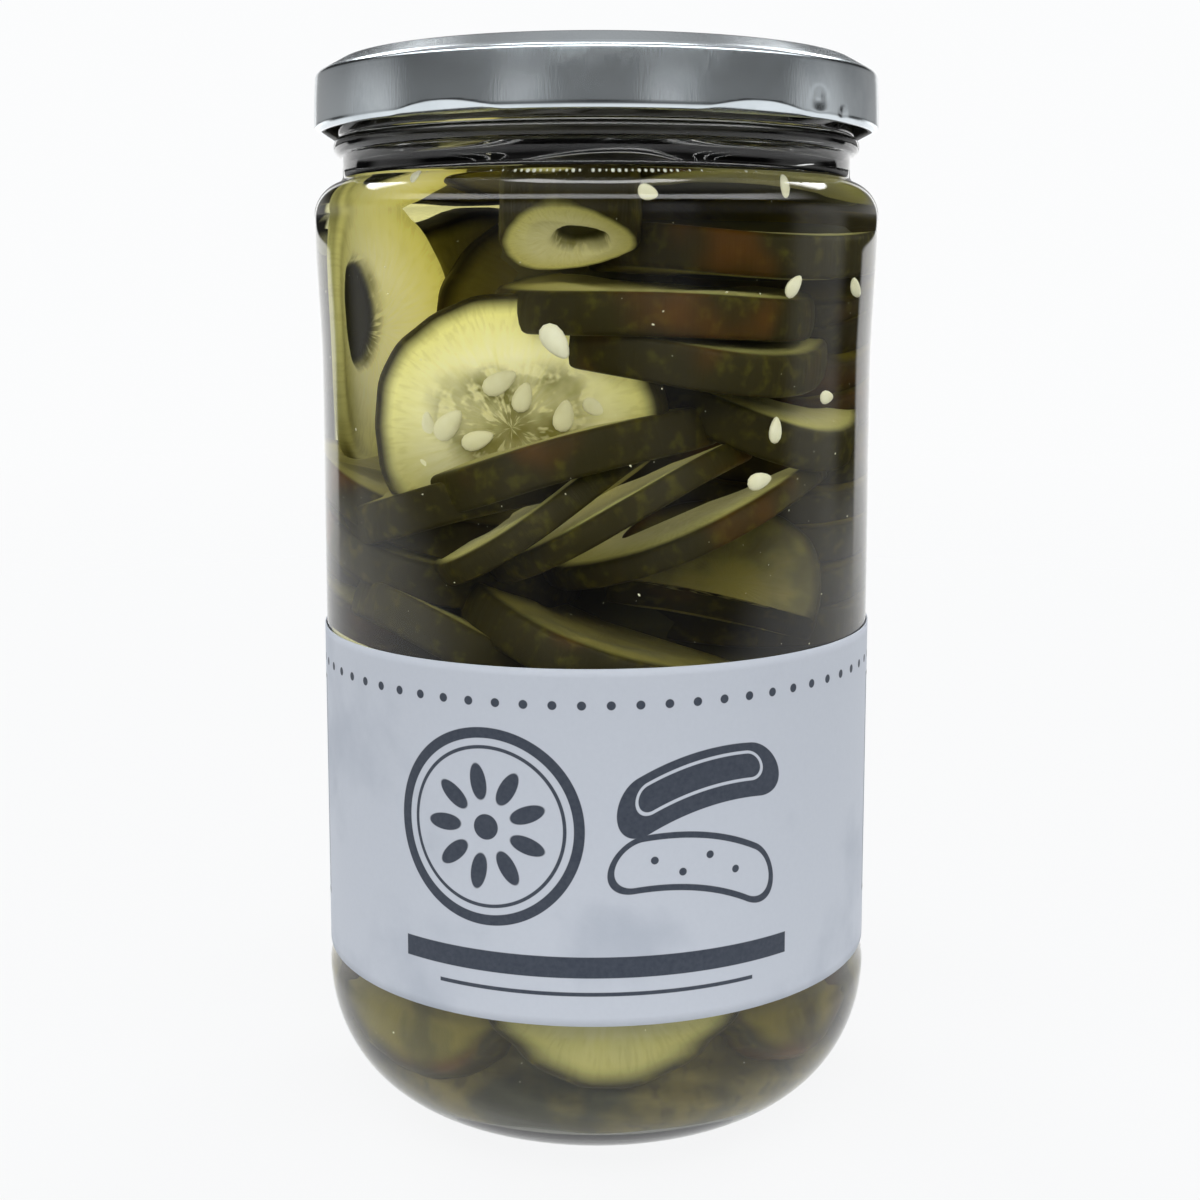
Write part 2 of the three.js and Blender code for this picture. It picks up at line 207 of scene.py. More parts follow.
class Nodes:
    """A node tree and the one way in which nodes are added to it."""

    def __init__(self, tree):
        self.tree = tree
        tree.nodes.clear()

    def add(self, kind, sockets=None, output=0, **settings):
        node = self.tree.nodes.new(kind)
        for name, value in settings.items():
            setattr(node, name, value)
        for name, value in (sockets or {}).items():
            join(value, node.inputs[name])
        return Field(node.outputs[output]) if len(node.outputs) else None

    def place(self):
        """Where a point lies on its object."""
        return self.add("ShaderNodeTexCoord", output="Object")

    def split(self, vector):
        """The three parts of a vector."""
        return [self.add("ShaderNodeSeparateXYZ", {"Vector": vector}, axis) for axis in "XYZ"]

    def stored(self, name, output="Fac"):
        """A value that the mesh keeps at each point."""
        return self.add("ShaderNodeAttribute", output=output, attribute_name=name)

    def noise(self, vector, scale, detail):
        return self.add("ShaderNodeTexNoise", {"Vector": vector, "Scale": scale, "Detail": detail})

    def bump(self, height, strength, depth):
        """A normal roughened by a height, with the depth in millimetres."""
        values = {"Height": height, "Strength": strength, "Distance": depth * MM}
        return self.add("ShaderNodeBump", values)

    def mix(self, share, first, second):
        """A colour between two, by a share from 0 to 1."""
        return self.add("ShaderNodeMix", {0: share, 6: first, 7: second}, 2, data_type="RGBA")

    def shader_mix(self, share, first, second):
        return self.add("ShaderNodeMixShader", {0: share, 1: first, 2: second})

    def surface(self, shader):
        self.add("ShaderNodeOutputMaterial", {"Surface": shader})

    def principled(self, sockets):
        self.surface(self.add("ShaderNodeBsdfPrincipled", sockets))


def finish(name):
    """A new material and its empty node tree."""
    material = bpy.data.materials.new(name)
    material.use_nodes = True
    return material, Nodes(material.node_tree)


def colour(red, green, blue):
    """A colour given as on a screen, 0 to 255, as the linear values that shaders take."""
    screen = np.array((red, green, blue)) / 255
    linear = np.where(screen <= 0.04045, screen / 12.92, ((screen + 0.055) / 1.055) ** 2.4)
    return (*linear.tolist(), 1)


def mottled(name, scale, detail, colours, roughness, glow=None):
    """A material that wanders between two colours, with a faint painted glow added to it if one is
    given.
    """
    material, nodes = finish(name)
    mottle = nodes.noise(nodes.place(), scale, detail)
    values = {"Base Color": nodes.mix(mottle, *colours), "Roughness": roughness}
    if glow:
        values.update({"Emission Color": glow, "Emission Strength": 1.0})
        material.cycles.emission_sampling = "NONE"
    nodes.principled(values)
    return material


def jar_profile():
    """The glass from the middle of the underside, up the outside, and down the inside to the floor."""
    foot = HEEL_RADIUS - HEEL_WIDTH
    punt = np.linspace(0, 1, 12, endpoint=False)
    punt = np.column_stack(((foot - FOOT_WIDTH) * punt, PUNT_HEIGHT * (1 - punt**2)))
    ring = [(foot - FOOT_WIDTH * share, 0) for share in (1, 0.75, 0.5, 0.25)]
    bend = (SHOULDER_RADIUS - SHOULDER_ARC, SHOULDER_HEIGHT)
    shoulder = arc(bend, (SHOULDER_ARC,) * 2, 0, SHOULDER_SWEEP, 14)
    sweep = math.radians(SHOULDER_SWEEP)
    fillet = (shoulder[-1][0] - NECK_RADIUS) / (1 - math.cos(sweep))
    neck = (NECK_RADIUS + fillet, shoulder[-1][1] + fillet * math.sin(sweep))
    share = np.linspace(0, 1, 16, endpoint=False)
    widening = PANEL_RADIUS + (SHOULDER_RADIUS - PANEL_RADIUS) * smooth_step(share, 0, 1)
    flare = np.column_stack((widening, PANEL_TOP + (SHOULDER_HEIGHT - PANEL_TOP) * share))
    panel_step = np.linspace((HEEL_RADIUS, HEEL_HEIGHT), (PANEL_RADIUS, PANEL_BOTTOM), 5)[1:]
    wall = np.linspace(BEAD_HEIGHT + BEAD_HALF, JAR_HEIGHT - RIM_ROUND, 36, endpoint=False)
    heel_top = (INNER_RADIUS - INNER_HEEL_WIDTH, FLOOR_HEIGHT + INNER_HEEL_HEIGHT)
    drop = (INNER_RADIUS - MOUTH_RADIUS, SHOULDER_ARC)
    floor = np.linspace(1, 0, 8)[1:]
    return np.vstack(
        (
            punt,
            ring,
            arc((foot, HEEL_HEIGHT), (HEEL_WIDTH, HEEL_HEIGHT), -90, 0, 36),
            panel_step,
            flare,
            shoulder,
            arc(neck, (fillet,) * 2, 180 + SHOULDER_SWEEP, 180, 12)[1:],
            arc((NECK_RADIUS, BEAD_HEIGHT), (BEAD_REACH, BEAD_HALF), -90, 72, 14),
            np.column_stack((np.full(len(wall), FINISH_RADIUS), wall)),
            arc((FINISH_RADIUS - RIM_ROUND, JAR_HEIGHT - RIM_ROUND), (RIM_ROUND,) * 2, 0, 90, 6),
            arc((MOUTH_RADIUS + RIM_ROUND, JAR_HEIGHT - RIM_ROUND), (RIM_ROUND,) * 2, 90, 180, 6),
            arc((MOUTH_RADIUS, SHOULDER_HEIGHT), drop, 90, 0, 12),
            arc(heel_top, (INNER_HEEL_WIDTH, INNER_HEEL_HEIGHT), 0, -90, 24),
            np.column_stack((heel_top[0] * floor, FLOOR_HEIGHT + FLOOR_CROWN * (1 - floor**2))),
        )
    )


def lug_offset(points):
    """Each point's bearing from the middle of the nearest lug, in degrees."""
    bearings = np.degrees(np.arctan2(points[:, 0], -points[:, 1]))
    pitch = 360 / LUG_COUNT
    return (bearings - FIRST_LUG_BEARING + pitch / 2) % pitch - pitch / 2


def raise_threads(points):
    """Lifts six rising ridges from the neck's outer wall."""
    radius = np.hypot(points[:, 0], points[:, 1])
    share = (lug_offset(points) % (360 / LUG_COUNT) - THREAD_START) / THREAD_SPAN
    height = THREAD_LOW + THREAD_RISE * smooth_step(share, 0, 0.9)
    ends = smooth_step(share, 0, 0.2) * smooth_step(1 - share, 0, 0.2)
    bead = np.clip(1 - ((points[:, 2] - height) / THREAD_HALF) ** 2, 0, 1) ** 2
    on_wall = (radius > FINISH_RADIUS - 0.01) & (points[:, 2] > BEAD_HEIGHT + BEAD_HALF - 0.01)
    push_out(points, on_wall * THREAD_REACH * ends * bead)


def press_knurls(points):
    """Presses a ring of small notches into the foot that the jar stands on."""
    bearings = np.arctan2(points[:, 0], -points[:, 1])
    radius = np.hypot(points[:, 0], points[:, 1])
    foot = HEEL_RADIUS - HEEL_WIDTH
    band = smooth_step(radius, foot - FOOT_WIDTH - 2, foot - FOOT_WIDTH / 2)
    low = band * (1 - smooth_step(points[:, 2], KNURL_TOP / 2, KNURL_TOP))
    points[:, 2] += KNURL_DEPTH * low * (0.5 - 0.5 * np.cos(KNURL_COUNT * bearings))


glass, nodes = finish("clear glass")
place = nodes.place()
foot = nodes.split(place)[2].ramp(FROST_HEIGHTS[0] * MM, FROST_HEIGHTS[1] * MM)
nodes.principled(
    {
        "Base Color": GLASS_TINT,
        "Roughness": FROST * foot,
        "IOR": GLASS_IOR,
        "Transmission Weight": 1.0,
        "Normal": nodes.bump(nodes.noise(place, RIPPLE_SCALE, 1), RIPPLE_STRENGTH, RIPPLE_DEPTH),
    }
)
wetted_glass, nodes = finish("wetted glass")
wet_values = {"Color": GLASS_TINT, "Roughness": 0.0, "IOR": GLASS_IOR}
nodes.surface(nodes.add("ShaderNodeBsdfRefraction", wet_values))
points, faces = turned(jar_profile(), JAR_SEGMENTS)
raise_threads(points)
press_knurls(points)
jar = mesh_piece("jar_glass", points, faces, glass)
jar.data.materials.append(wetted_glass)
jar.visible_shadow = False
for face in jar.data.polygons:
    inward = face.normal.dot(Vector((face.center.x, face.center.y, -WALL * MM))) < 0
    face.material_index = int(inward and face.center.z < BRINE_LEVEL * MM)
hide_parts("jar")
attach(jar, "root")


# Pickle slices
# Cucumbers cut across into slices about 6 mm thick and packed by hand, so most lie in leaning stacks
# with their dark skin to the glass, and a few stand against it and show their pale flesh.
SLICE_THICKNESS = 6
HEAP_CLEARANCE = 0.5
TUCK_ROUNDS = 12
TUCK_POINTS = 12
TILT_JITTER = 3
HEIGHT_JITTER = 0.5
EDGE_ROUND = 0.9
TYPICAL_RADIUS = 19
FACING = 60
STACKED_GEL = 0.2
OUTLINE_WAVES = [(2, 0.022), (3, 0.016), (7, 0.008), (19, 0.004)]
OUTLINE_SHARE = 0.985
LOBES = 3
LOBE_REACH = 0.62
LOBE_DEPTH = 0.09
CROWN = 0.25
GEL_SINK = 0.55
HOLE_DEPTH = 2.3
BOW = 0.9
DISH = 0.5
SKIN_EDGE = (0.85, 0.985)
SKIN_LEFT_BARE = 0.2
SHADE_BAND = (-0.35, 0.4)
STANDING_FACETS = (30, 96)
STACKED_FACETS = (12, 56)

# Seeds of the front slice: across and up from its middle, and their roll in degrees.
FRONT_SEEDS = [
    (-0.4, 6.5, 25),
    (2.2, 4, 65),
    (7, 0.7, 70),
    (11.4, 1.1, -40),
    (-11.3, 2, 80),
    (-8.2, 1.6, 40),
    (-4.6, -1, 12),
    (-12.7, -2.8, -60),
]


def stack(bearing, out, height, tilt, lean, radius, **other):
    """A row of slices: how the first one lies, and what differs from a plain single slice."""
    plain = dict(count=1, rise=0, bearing_step=0, tilt_step=0, lean_step=0, thickness=SLICE_THICKNESS)
    # One look darkens a slice's flesh towards brown: partly real browning, partly painted shade on
    # slices that lie deep or low in the jar. Shade adds painted shade towards one edge of a slice.
    looks = dict(hole=None, murk=0, glow=0, bare=0, shade=0, cut=-radius, seeds=None)
    own = dict(bearing=bearing, out=out, height=height, tilt=tilt, lean=lean, radius=radius)
    return {**plain, **looks, **own, **other}


# A row starts at a bearing from the front, a distance out from the axis and a height, and each further
# slice moves on by the steps. Tilt turns a slice from flat, 0, to upright, 90, with its upper face
# looking towards the lean bearing.
# Glow is painted light: the flesh's own colour added as a glow, in place of light shining through the
# slice from behind.
SLICE_STACKS = [
    stack(70, 19, 130, 3, 85, 19.4, murk=0.3),
    stack(24, 18, 122.8, 5, 25, 20.4, murk=0.35),
    stack(33, 19, 115.6, 7, 55, 19.4, murk=0.35),
    stack(58, 22, 106.5, 17, 72, 16.4, murk=0.35),
    stack(-12, 19, 101, 18, -88, 19.4, murk=0.5),
    stack(-50, 19.3, 95.5, 15, -88, 18.6, murk=0.7),
    stack(-18, 22, 92.6, 34, -96, 16, thickness=3.6, murk=0.3, glow=0.4),
    stack(8, 20, 93.4, 29, -89, 19, thickness=3.6, murk=0.2, glow=0.4),
    stack(38, 18.5, 90.6, 23, -80, 19.4, thickness=3.6, murk=0.15, glow=0.35),
    stack(40, 24, 81, 50, 18, 14.5, cut=-3, murk=0.9),
    stack(0, 19.5, 73, 25, 92, 19, murk=0.8),
    stack(-45, 20.5, 72.7, 21, 92, 18, murk=0.7),
    stack(-24, 28, 105, 90, -9, 19.4, seeds=FRONT_SEEDS, cut=-7, glow=0.5, shade=0.5),
    stack(-100.6, 28, 119, 90, 62, 20, thickness=3.2, hole=(0.46, -0.26, -0.2), glow=1.1, bare=1),
    stack(-8, 22, 134.5, 26, 176, 8.8, hole=(0.42, 0.15, 0), murk=0.1, glow=-0.45),
    stack(-80, 19.5, 84, 14, 70, 19, count=2, rise=7, murk=0.6),
    stack(105, 19.5, 77, 12, 30, 18.4, count=9, rise=7, tilt_step=2.5, murk=1),
    stack(190, 19.5, 79, 30, 120, 18.6, count=4, rise=7.2, tilt_step=-4, murk=0.4),
    stack(150, 30, 121, 86, 150, 15.8, count=2, bearing_step=56, lean_step=56, murk=0.3),
    stack(-125, 19.5, 78, 20, -10, 19.4, count=3, rise=7, tilt_step=-3, murk=0.5),
    stack(178, 19.5, 28, 22, -120, 19.2, count=7, rise=7.1, tilt_step=-3, murk=0.4),
    stack(6, 31, 34, 88, 4, 21.5, murk=0.35),
    stack(-52, 26, 27, 76, -44, 18.5, murk=0.9),
    stack(60, 26, 29, 78, 54, 18.5, murk=1),
    stack(-98, 29, 28, 80, -98, 18.5, count=2, bearing_step=196, lean_step=196, murk=0.95),
    stack(52, 9, 15, 16, 232, 19, count=6, bearing_step=60, lean_step=60, murk=1.9),
    stack(178, 20, 122, 88, 178, 17.5, murk=0.6),
]


def scatter(slice_number, value):
    """A repeatable number between -1 and 1 for a slice and one of its values."""
    wave = math.sin(slice_number * 12.9898 + value * 78.233) * 43758.5453
    return 2 * (wave - math.floor(wave)) - 1


def around(radius, bearing, height):
    """The point at a radius, a bearing in degrees from the front, and a height."""
    angle = math.radians(bearing)
    return Vector((radius * math.sin(angle), -radius * math.cos(angle), height))


def heap_radius(height):
    """The radius that a slice may reach at a height inside the jar."""
    heel_share = min(1, max(0, (FLOOR_HEIGHT + INNER_HEEL_HEIGHT - height) / INNER_HEEL_HEIGHT))
    heel = INNER_HEEL_WIDTH * (1 - math.sqrt(1 - heel_share**2))
    shoulder = float(smooth_step(height, SHOULDER_HEIGHT, SHOULDER_HEIGHT + SHOULDER_ARC))
    return INNER_RADIUS - heel - shoulder * (INNER_RADIUS - MOUTH_RADIUS) - HEAP_CLEARANCE


def tuck(centre, turn, radius, thickness):
    """Moves a slice in from the wall, up from the floor and down from the brine's top until it fits."""
    for step in range(TUCK_ROUNDS * 2 * TUCK_POINTS):
        i = step % (2 * TUCK_POINTS)
        angle = 2 * math.pi * i / TUCK_POINTS
        side = -0.5 if i < TUCK_POINTS else 0.5
        edge = Vector((radius * math.cos(angle), radius * math.sin(angle), side * thickness))
        point = turn @ edge + centre
        centre.z += max(0, FLOOR_HEIGHT + FLOOR_CROWN + HEAP_CLEARANCE - point.z)
        centre.z -= max(0, point.z - BRINE_LEVEL)
        reach = math.hypot(point.x, point.y)
        excess = max(0, reach - heap_radius(point.z))
        centre.x -= excess * point.x / reach
        centre.y -= excess * point.y / reach


def packed_slices():
    """Every slice's row, number, centre and turn, and whether its face is to the glass."""
    packed = []
    for row in SLICE_STACKS:
        for i in range(row["count"]):
            number = len(packed)
            bearing = row["bearing"] + i * row["bearing_step"]
            lean = row["lean"] + i * row["lean_step"]
            tilt = row["tilt"] + i * row["tilt_step"] + TILT_JITTER * scatter(number, 1)
            height = row["height"] + i * row["rise"] + HEIGHT_JITTER * scatter(number, 2)
            centre = around(row["out"], bearing, height)
            normal = around(math.sin(math.radians(tilt)), lean, math.cos(math.radians(tilt)))
            turn = Vector((0, 0, 1)).rotation_difference(normal)
            tuck(centre, turn, row["radius"], row["thickness"])
            faces_out = tilt > FACING or row["hole"] is not None
            packed.append(dict(row, number=number, centre=centre, turn=turn, faces_out=faces_out))
    return packed


def slice_section(rings):
    """Half of a slice's section: shares of the radius out to the skin, and heights, top to bottom."""
    half = SLICE_THICKNESS / 2
    edge = EDGE_ROUND / TYPICAL_RADIUS
    face = np.linspace(0, 1 - edge, rings)
    upper = np.column_stack((face, np.full(rings, half)))
    corner = np.linspace(0, np.pi / 2, 5)[1:]
    reach = 1 + edge * (np.sin(corner) - 1)
    bend = np.column_stack((reach, half - EDGE_ROUND * (1 - np.cos(corner))))
    bulge = np.column_stack(((1.006, 1.01, 1.006), (half / 2, 0, -half / 2)))
    lower = np.vstack((upper, bend))[::-1] * (1, -1)
    return np.vstack((upper, bend, bulge, lower))[::-1]


def slice_shape(item, rings, spokes):
    """One uneven slice lying flat at the origin: points, faces, and the values kept at each point."""
    number = item["number"]
    hole = item["hole"]
    unit, faces = turned(slice_section(rings), spokes)
    share = np.hypot(unit[:, 0], unit[:, 1])
    angle = np.arctan2(unit[:, 1], unit[:, 0])
    phases = [math.pi * scatter(number, k) for k in range(3, 9)]
    waves = [depth * np.sin(n * angle + phase) for (n, depth), phase in zip(OUTLINE_WAVES, phases)]
    outline = OUTLINE_SHARE * (1 + sum(waves))
    points = unit.copy()
    points[:, :2] *= (item["radius"] * outline)[:, None]
    side = np.sign(unit[:, 2])
    lobes = LOBE_REACH + LOBE_DEPTH * np.cos(LOBES * (angle + phases[4]))
    hollow = 1 - smooth_step(share / lobes, 0.7, 1.05)
    crown = CROWN * (1 - smooth_step(share, 0.5, 0.95))
    pit = np.zeros(len(unit))
    gel = 1 - smooth_step(share / lobes, 0.6, 1.0)
    if hole:
        from_hole = np.hypot(unit[:, 0] - hole[1], unit[:, 1] - hole[2])
        pit = 1 - smooth_step(from_hole / hole[0], 0.75, 1.1)
        gel = np.zeros(len(unit))
    points[:, 2] += side * (crown - GEL_SINK * hollow - HOLE_DEPTH * pit)
    bow = BOW * np.cos(2 * angle + phases[5]) + DISH * scatter(number, 9)
    points[:, 2] += bow * share**2
    points[:, 1] = np.maximum(points[:, 1], item["cut"])
    points[:, 2] *= item["thickness"] / SLICE_THICKNESS
    on_edge = np.abs(unit[:, 2]) < SLICE_THICKNESS / 2 - 0.02
    rind = np.where(on_edge, 1, smooth_step(share, *SKIN_EDGE))
    values = {
        "rind": rind * (1 - (1 - SKIN_LEFT_BARE) * item["bare"]),
        "seed_hollow": np.maximum(gel, 2 * pit) * (1 if item["faces_out"] else STACKED_GEL),
        "murk": item["murk"] + item["shade"] * smooth_step(-unit[:, 1], *SHADE_BAND),
        "glow": np.maximum(side * item["glow"], 0),
    }
    return points, faces, np.column_stack((unit[:, :2], np.full(len(unit), number))), values


def joined_slices(name, chosen, rings, spokes, material):
    """One mesh of the chosen slices, with the values that their material reads."""
    points, faces, places, kept = [], [], [], []
    for item in chosen:
        shape, own_faces, place, values = slice_shape(item, rings, spokes)
        start = sum(map(len, points))
        shape = shape @ np.array(item["turn"].to_matrix()).T
        points.append(shape + np.array(item["centre"]))
        faces += [[corner + start for corner in face] for face in own_faces]
        places.append(place)
        kept.append(values)
    piece = mesh_piece(name, np.vstack(points), faces, material)
    keep_values(piece.data, "face_place", "FLOAT_VECTOR", np.vstack(places))
    for key in kept[0]:
        keep_values(piece.data, key, "FLOAT", np.concatenate([values[key] for values in kept]))
    return piece


FLESH = colour(246, 241, 200)
FLESH_OUTER = colour(222, 216, 138)
SEED_GEL = colour(112, 108, 50)
SEED_HOLE = colour(70, 70, 36)
FLESH_MURKY = colour(116, 104, 34)
FLESH_BROWNED = colour(60, 52, 10)
FLESH_STREAK = colour(176, 166, 92)
SKIN = colour(45, 39, 4)
SKIN_PALE = colour(94, 86, 18)
SKIN_AMBER = colour(100, 60, 4)
UNLIT = (0, 0, 0, 1)
SPOKE_STRETCH = (5, 1.5, 3.7)
STRAND_STRETCH = (1.2, 2.5, 5.3)
FIBRE_SCALE = 3.2
FIBRE_SHARE = 0.45
STREAK_SCALE = 5.5
STREAK_SHARE = 0.2
STRAND_SCALE = 3.5
STRAND_SHARE = 0.6
BLOTCH_SCALE = 140
BROWN_SCALE = 95
SKIN_SCALE = 420
SKIN_PALE_SHARE = 0.5
AMBER_SCALE = 55
AMBER_SHARE = 0.7
FLESH_ROUGHNESS = 0.5
FLESH_SHINE = 0.2
FLESH_BUMP = 0.35
FLESH_DEPTH = 0.5

pickle, nodes = finish("pickle slice")
place = nodes.place()
across, along, number = nodes.split(nodes.stored("face_place", "Vector"))
rind, gel, murk, glow = (nodes.stored(name) for name in ("rind", "seed_hollow", "murk", "glow"))
share = (across * across + along * along) ** 0.5
angle = along.maths("ARCTAN2", across)


def stretched(stretch):
    """A place on the slice's face, by angle, share of the radius and slice, each stretched."""
    parts = zip("XYZ", (angle, share, number), stretch)
    return nodes.add("ShaderNodeCombineXYZ", {axis: part * by for axis, part, by in parts})


spoke = stretched(SPOKE_STRETCH)
fibres = nodes.noise(spoke, FIBRE_SCALE, 4)
blotch = nodes.noise(place, BLOTCH_SCALE, 3)
flesh = nodes.mix(share.ramp(0.45, 0.95), FLESH, FLESH_OUTER)
flesh = nodes.mix(fibres.ramp(0.35, 0.75) * FIBRE_SHARE, flesh, FLESH_OUTER)
streaks = nodes.noise(spoke, STREAK_SCALE, 1).ramp(0.5, 0.62)
flesh = nodes.mix(streaks * share.ramp(0.62, 0.85) * STREAK_SHARE, flesh, FLESH_STREAK)
strands = nodes.noise(stretched(STRAND_STRETCH), STRAND_SCALE, 2).ramp(0.5, 0.64)
gel_share = gel.least(1) * (0.5 + 0.5 * blotch.ramp(0.35, 0.65)) * (1 - STRAND_SHARE * strands)
flesh = nodes.mix(gel_share, flesh, SEED_GEL)
# The pit of a holed slice is dark gel with painted shade, darker than the rest of the gel.
flesh = nodes.mix(gel.ramp(1, 2), flesh, SEED_HOLE)
# The flesh turns murky brown by the slice's value for browning and painted shade; above 1 it turns
# wholly dark brown.
browned = nodes.noise(place, BROWN_SCALE, 4).ramp(0.4, 0.65).most(murk - 1)
flesh = nodes.mix(murk, flesh, nodes.mix(browned, FLESH_MURKY, FLESH_BROWNED))
pale_skin = nodes.noise(place, SKIN_SCALE, 3).ramp(0.5, 0.75) * SKIN_PALE_SHARE
amber_skin = nodes.noise(place, AMBER_SCALE, 2).ramp(0.55, 0.75) * AMBER_SHARE
skin = nodes.mix(amber_skin, nodes.mix(pale_skin, SKIN, SKIN_PALE), SKIN_AMBER)
# Painted backlight: the flesh glows by the slice's glow value, more towards one edge, in place of light
# passing through it.
lit_share = glow * (0.55 + 0.45 * along) * (1 - rind) * (1 - gel.ramp(1, 2))
nodes.principled(
    {
        "Base Color": nodes.mix(rind, flesh, skin),
        "Roughness": FLESH_ROUGHNESS,
        "Specular IOR Level": FLESH_SHINE,
        "Emission Color": nodes.mix(lit_share, UNLIT, flesh),
        "Emission Strength": 1.0,
        "Normal": nodes.bump(fibres * 0.6 + blotch * 0.4, FLESH_BUMP, FLESH_DEPTH),
    }
)
pickle.cycles.emission_sampling = "NONE"
packed = packed_slices()
facing = [item for item in packed if item["faces_out"]]
lying = [item for item in packed if not item["faces_out"]]
standing = joined_slices("slices_standing", facing, *STANDING_FACETS, pickle)
stacked = joined_slices("slices_stacked", lying, *STACKED_FACETS, pickle)
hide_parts("pickles")
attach(stacked, "root")
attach(standing, "root")


# Middle of the heap
# The slices behind those that show. They only darken the gaps between them, so they are one ribbed
# column, set a little back from the front, and their dark olive colour is painted shade.
CORE_RADIUS = 20
CORE_WALL_GAP = 12
CORE_OFFSET = (9, 9, 0)
CORE_RINGS = 60
CORE_SEGMENTS = 96
RIB_DEPTH = 1.2
RIB_PITCH = 0.9
CORE_COLOURS = (colour(40, 38, 14), colour(74, 70, 28))
CORE_SCALE = 90
WET_ROUGHNESS = 0.7
heap_floor = FLOOR_HEIGHT + FLOOR_CROWN + HEAP_CLEARANCE
core_heights = np.linspace(heap_floor, BRINE_LEVEL - SLICE_THICKNESS, CORE_RINGS)
core_profile = [(0, core_heights[0])]
for height in core_heights:
    rib = RIB_DEPTH * (1 + math.sin(height * RIB_PITCH))
    core_profile.append((min(CORE_RADIUS, heap_radius(height) - CORE_WALL_GAP) - rib, height))
core_profile.append((0, core_heights[-1]))
dark_flesh = mottled("shaded flesh", CORE_SCALE, 3, CORE_COLOURS, WET_ROUGHNESS)
points, faces = turned(np.array(core_profile), CORE_SEGMENTS)
core = mesh_piece("slices_middle", points + np.array(CORE_OFFSET), faces, dark_flesh)
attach(core, "root")


# Settled crumbs
# Scraps of skin and flesh that have sunk and fill the round heel under the slices, as a lumpy bed that
# slopes away from the wall at its top. Its dark mottled colour is the scraps' own colour and painted
# shade of the packed heel.
CRUMB_TOP = 17
CRUMB_GAP = 2.6
CRUMB_EDGE = 7
CRUMB_SLOPE = 11
CRUMB_LUMP = 0.9
CRUMB_LUMP_COUNTS = (7, 12)
CRUMB_CALM_RADIUS = 10
CRUMB_RINGS = 24
CRUMB_DARK = colour(44, 44, 18)
CRUMB_PALE = colour(112, 100, 42)
CRUMB_FLECK = colour(34, 30, 10)
CRUMB_SCALE = 70
FLECK_SCALE = 420
FLECK_SHARE = 0.5
crumb_heights = np.linspace(core_heights[0], CRUMB_TOP, CRUMB_RINGS)
crumb_profile = [(0, crumb_heights[0])]
for height in crumb_heights:
    slope = CRUMB_SLOPE * float(smooth_step(height, CRUMB_EDGE, CRUMB_TOP))
    crumb_profile.append((heap_radius(height) - CRUMB_GAP - slope, height))
for share in np.linspace(0.95, 0, 12):
    crumb_profile.append((crumb_profile[CRUMB_RINGS][0] * share, CRUMB_TOP))
settled, nodes = finish("settled crumbs")
place = nodes.place()
murky = nodes.mix(nodes.noise(place, CRUMB_SCALE, 4).ramp(0.4, 0.66), CRUMB_DARK, CRUMB_PALE)
fleck = nodes.noise(place, FLECK_SCALE, 3).ramp(0.5, 0.7) * FLECK_SHARE
nodes.principled({"Base Color": nodes.mix(fleck, murky, CRUMB_FLECK), "Roughness": WET_ROUGHNESS})
points, faces = turned(np.array(crumb_profile), CORE_SEGMENTS)
bearings = np.arctan2(points[:, 0], points[:, 1])
few, many = (count * bearings for count in CRUMB_LUMP_COUNTS)
lumps = np.sin(few + points[:, 2]) + np.sin(many - 2 * points[:, 2])
push_out(points, CRUMB_LUMP * lumps / 2, CRUMB_CALM_RADIUS)
crumb_bed = mesh_piece("crumbs_settled", points, faces, settled)
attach(crumb_bed, "root")


# Seeds
# Flat pale cucumber seeds: rings of them set in the hollows of the slices that face the glass, loose
# ones that float in the brine close to the wall, and fine specks that drift there.
SEED_LENGTH = 5.4
SEED_WIDTH = 3.1
SEED_THICKNESS = 1.4
SEED_SUNK = -0.05
SEED_TAPER = 0.55
SEED_COLOURS = (colour(222, 217, 172), colour(248, 245, 222))
SEED_GLOW = (0.12, 0.115, 0.085, 1)
SEED_SCALE = 500
SEED_ROUGHNESS = 0.4
SEED_FACETS = (14, 8)
SEEDS_IN_SLICE = 9
SEED_RING = 0.36
SEED_RING_SPREAD = 0.07
SEED_SHIFT = 0.3
SEED_SWING = 20
SEED_SIZE = 0.88
SEED_SIZE_SPREAD = 0.12
WALL_GAP = 1.1
SPECK_FACETS = (6, 4)
SPECK_COUNT = 420
SPECK_MIDDLE = 74
SPECK_SPREAD = 62
SPECK_LEAST = 0.025
SPECK_RANGE = 0.07

# Loose seeds: bearing from the front, height, roll in degrees and size.
LOOSE_SEEDS = [
    (-8, 117.4, -55, 1),
    (42.9, 124.8, 45, 0.72),
    (66.5, 124.6, -25, 0.8),
    (38.6, 105, 85, 0.7),
    (34.6, 98.1, 10, 0.76),
    (9.9, 136.4, -10, 0.5),
    (40.6, 137.3, 70, 0.5),
    (54.6, 109.1, 0, 0.62),
    (-39.3, 138.7, 80, 0.5),
    (150, 118, 30, 0.8),
    (196, 92, -50, 0.7),
    (228, 128, 10, 0.9),
    (172, 58, 70, 0.7),
    (201, 45, -20, 0.8),
    (260, 102, 40, 0.7),
    (120, 132, -60, 0.75),
    (100, 96, 15, 0.7),
]


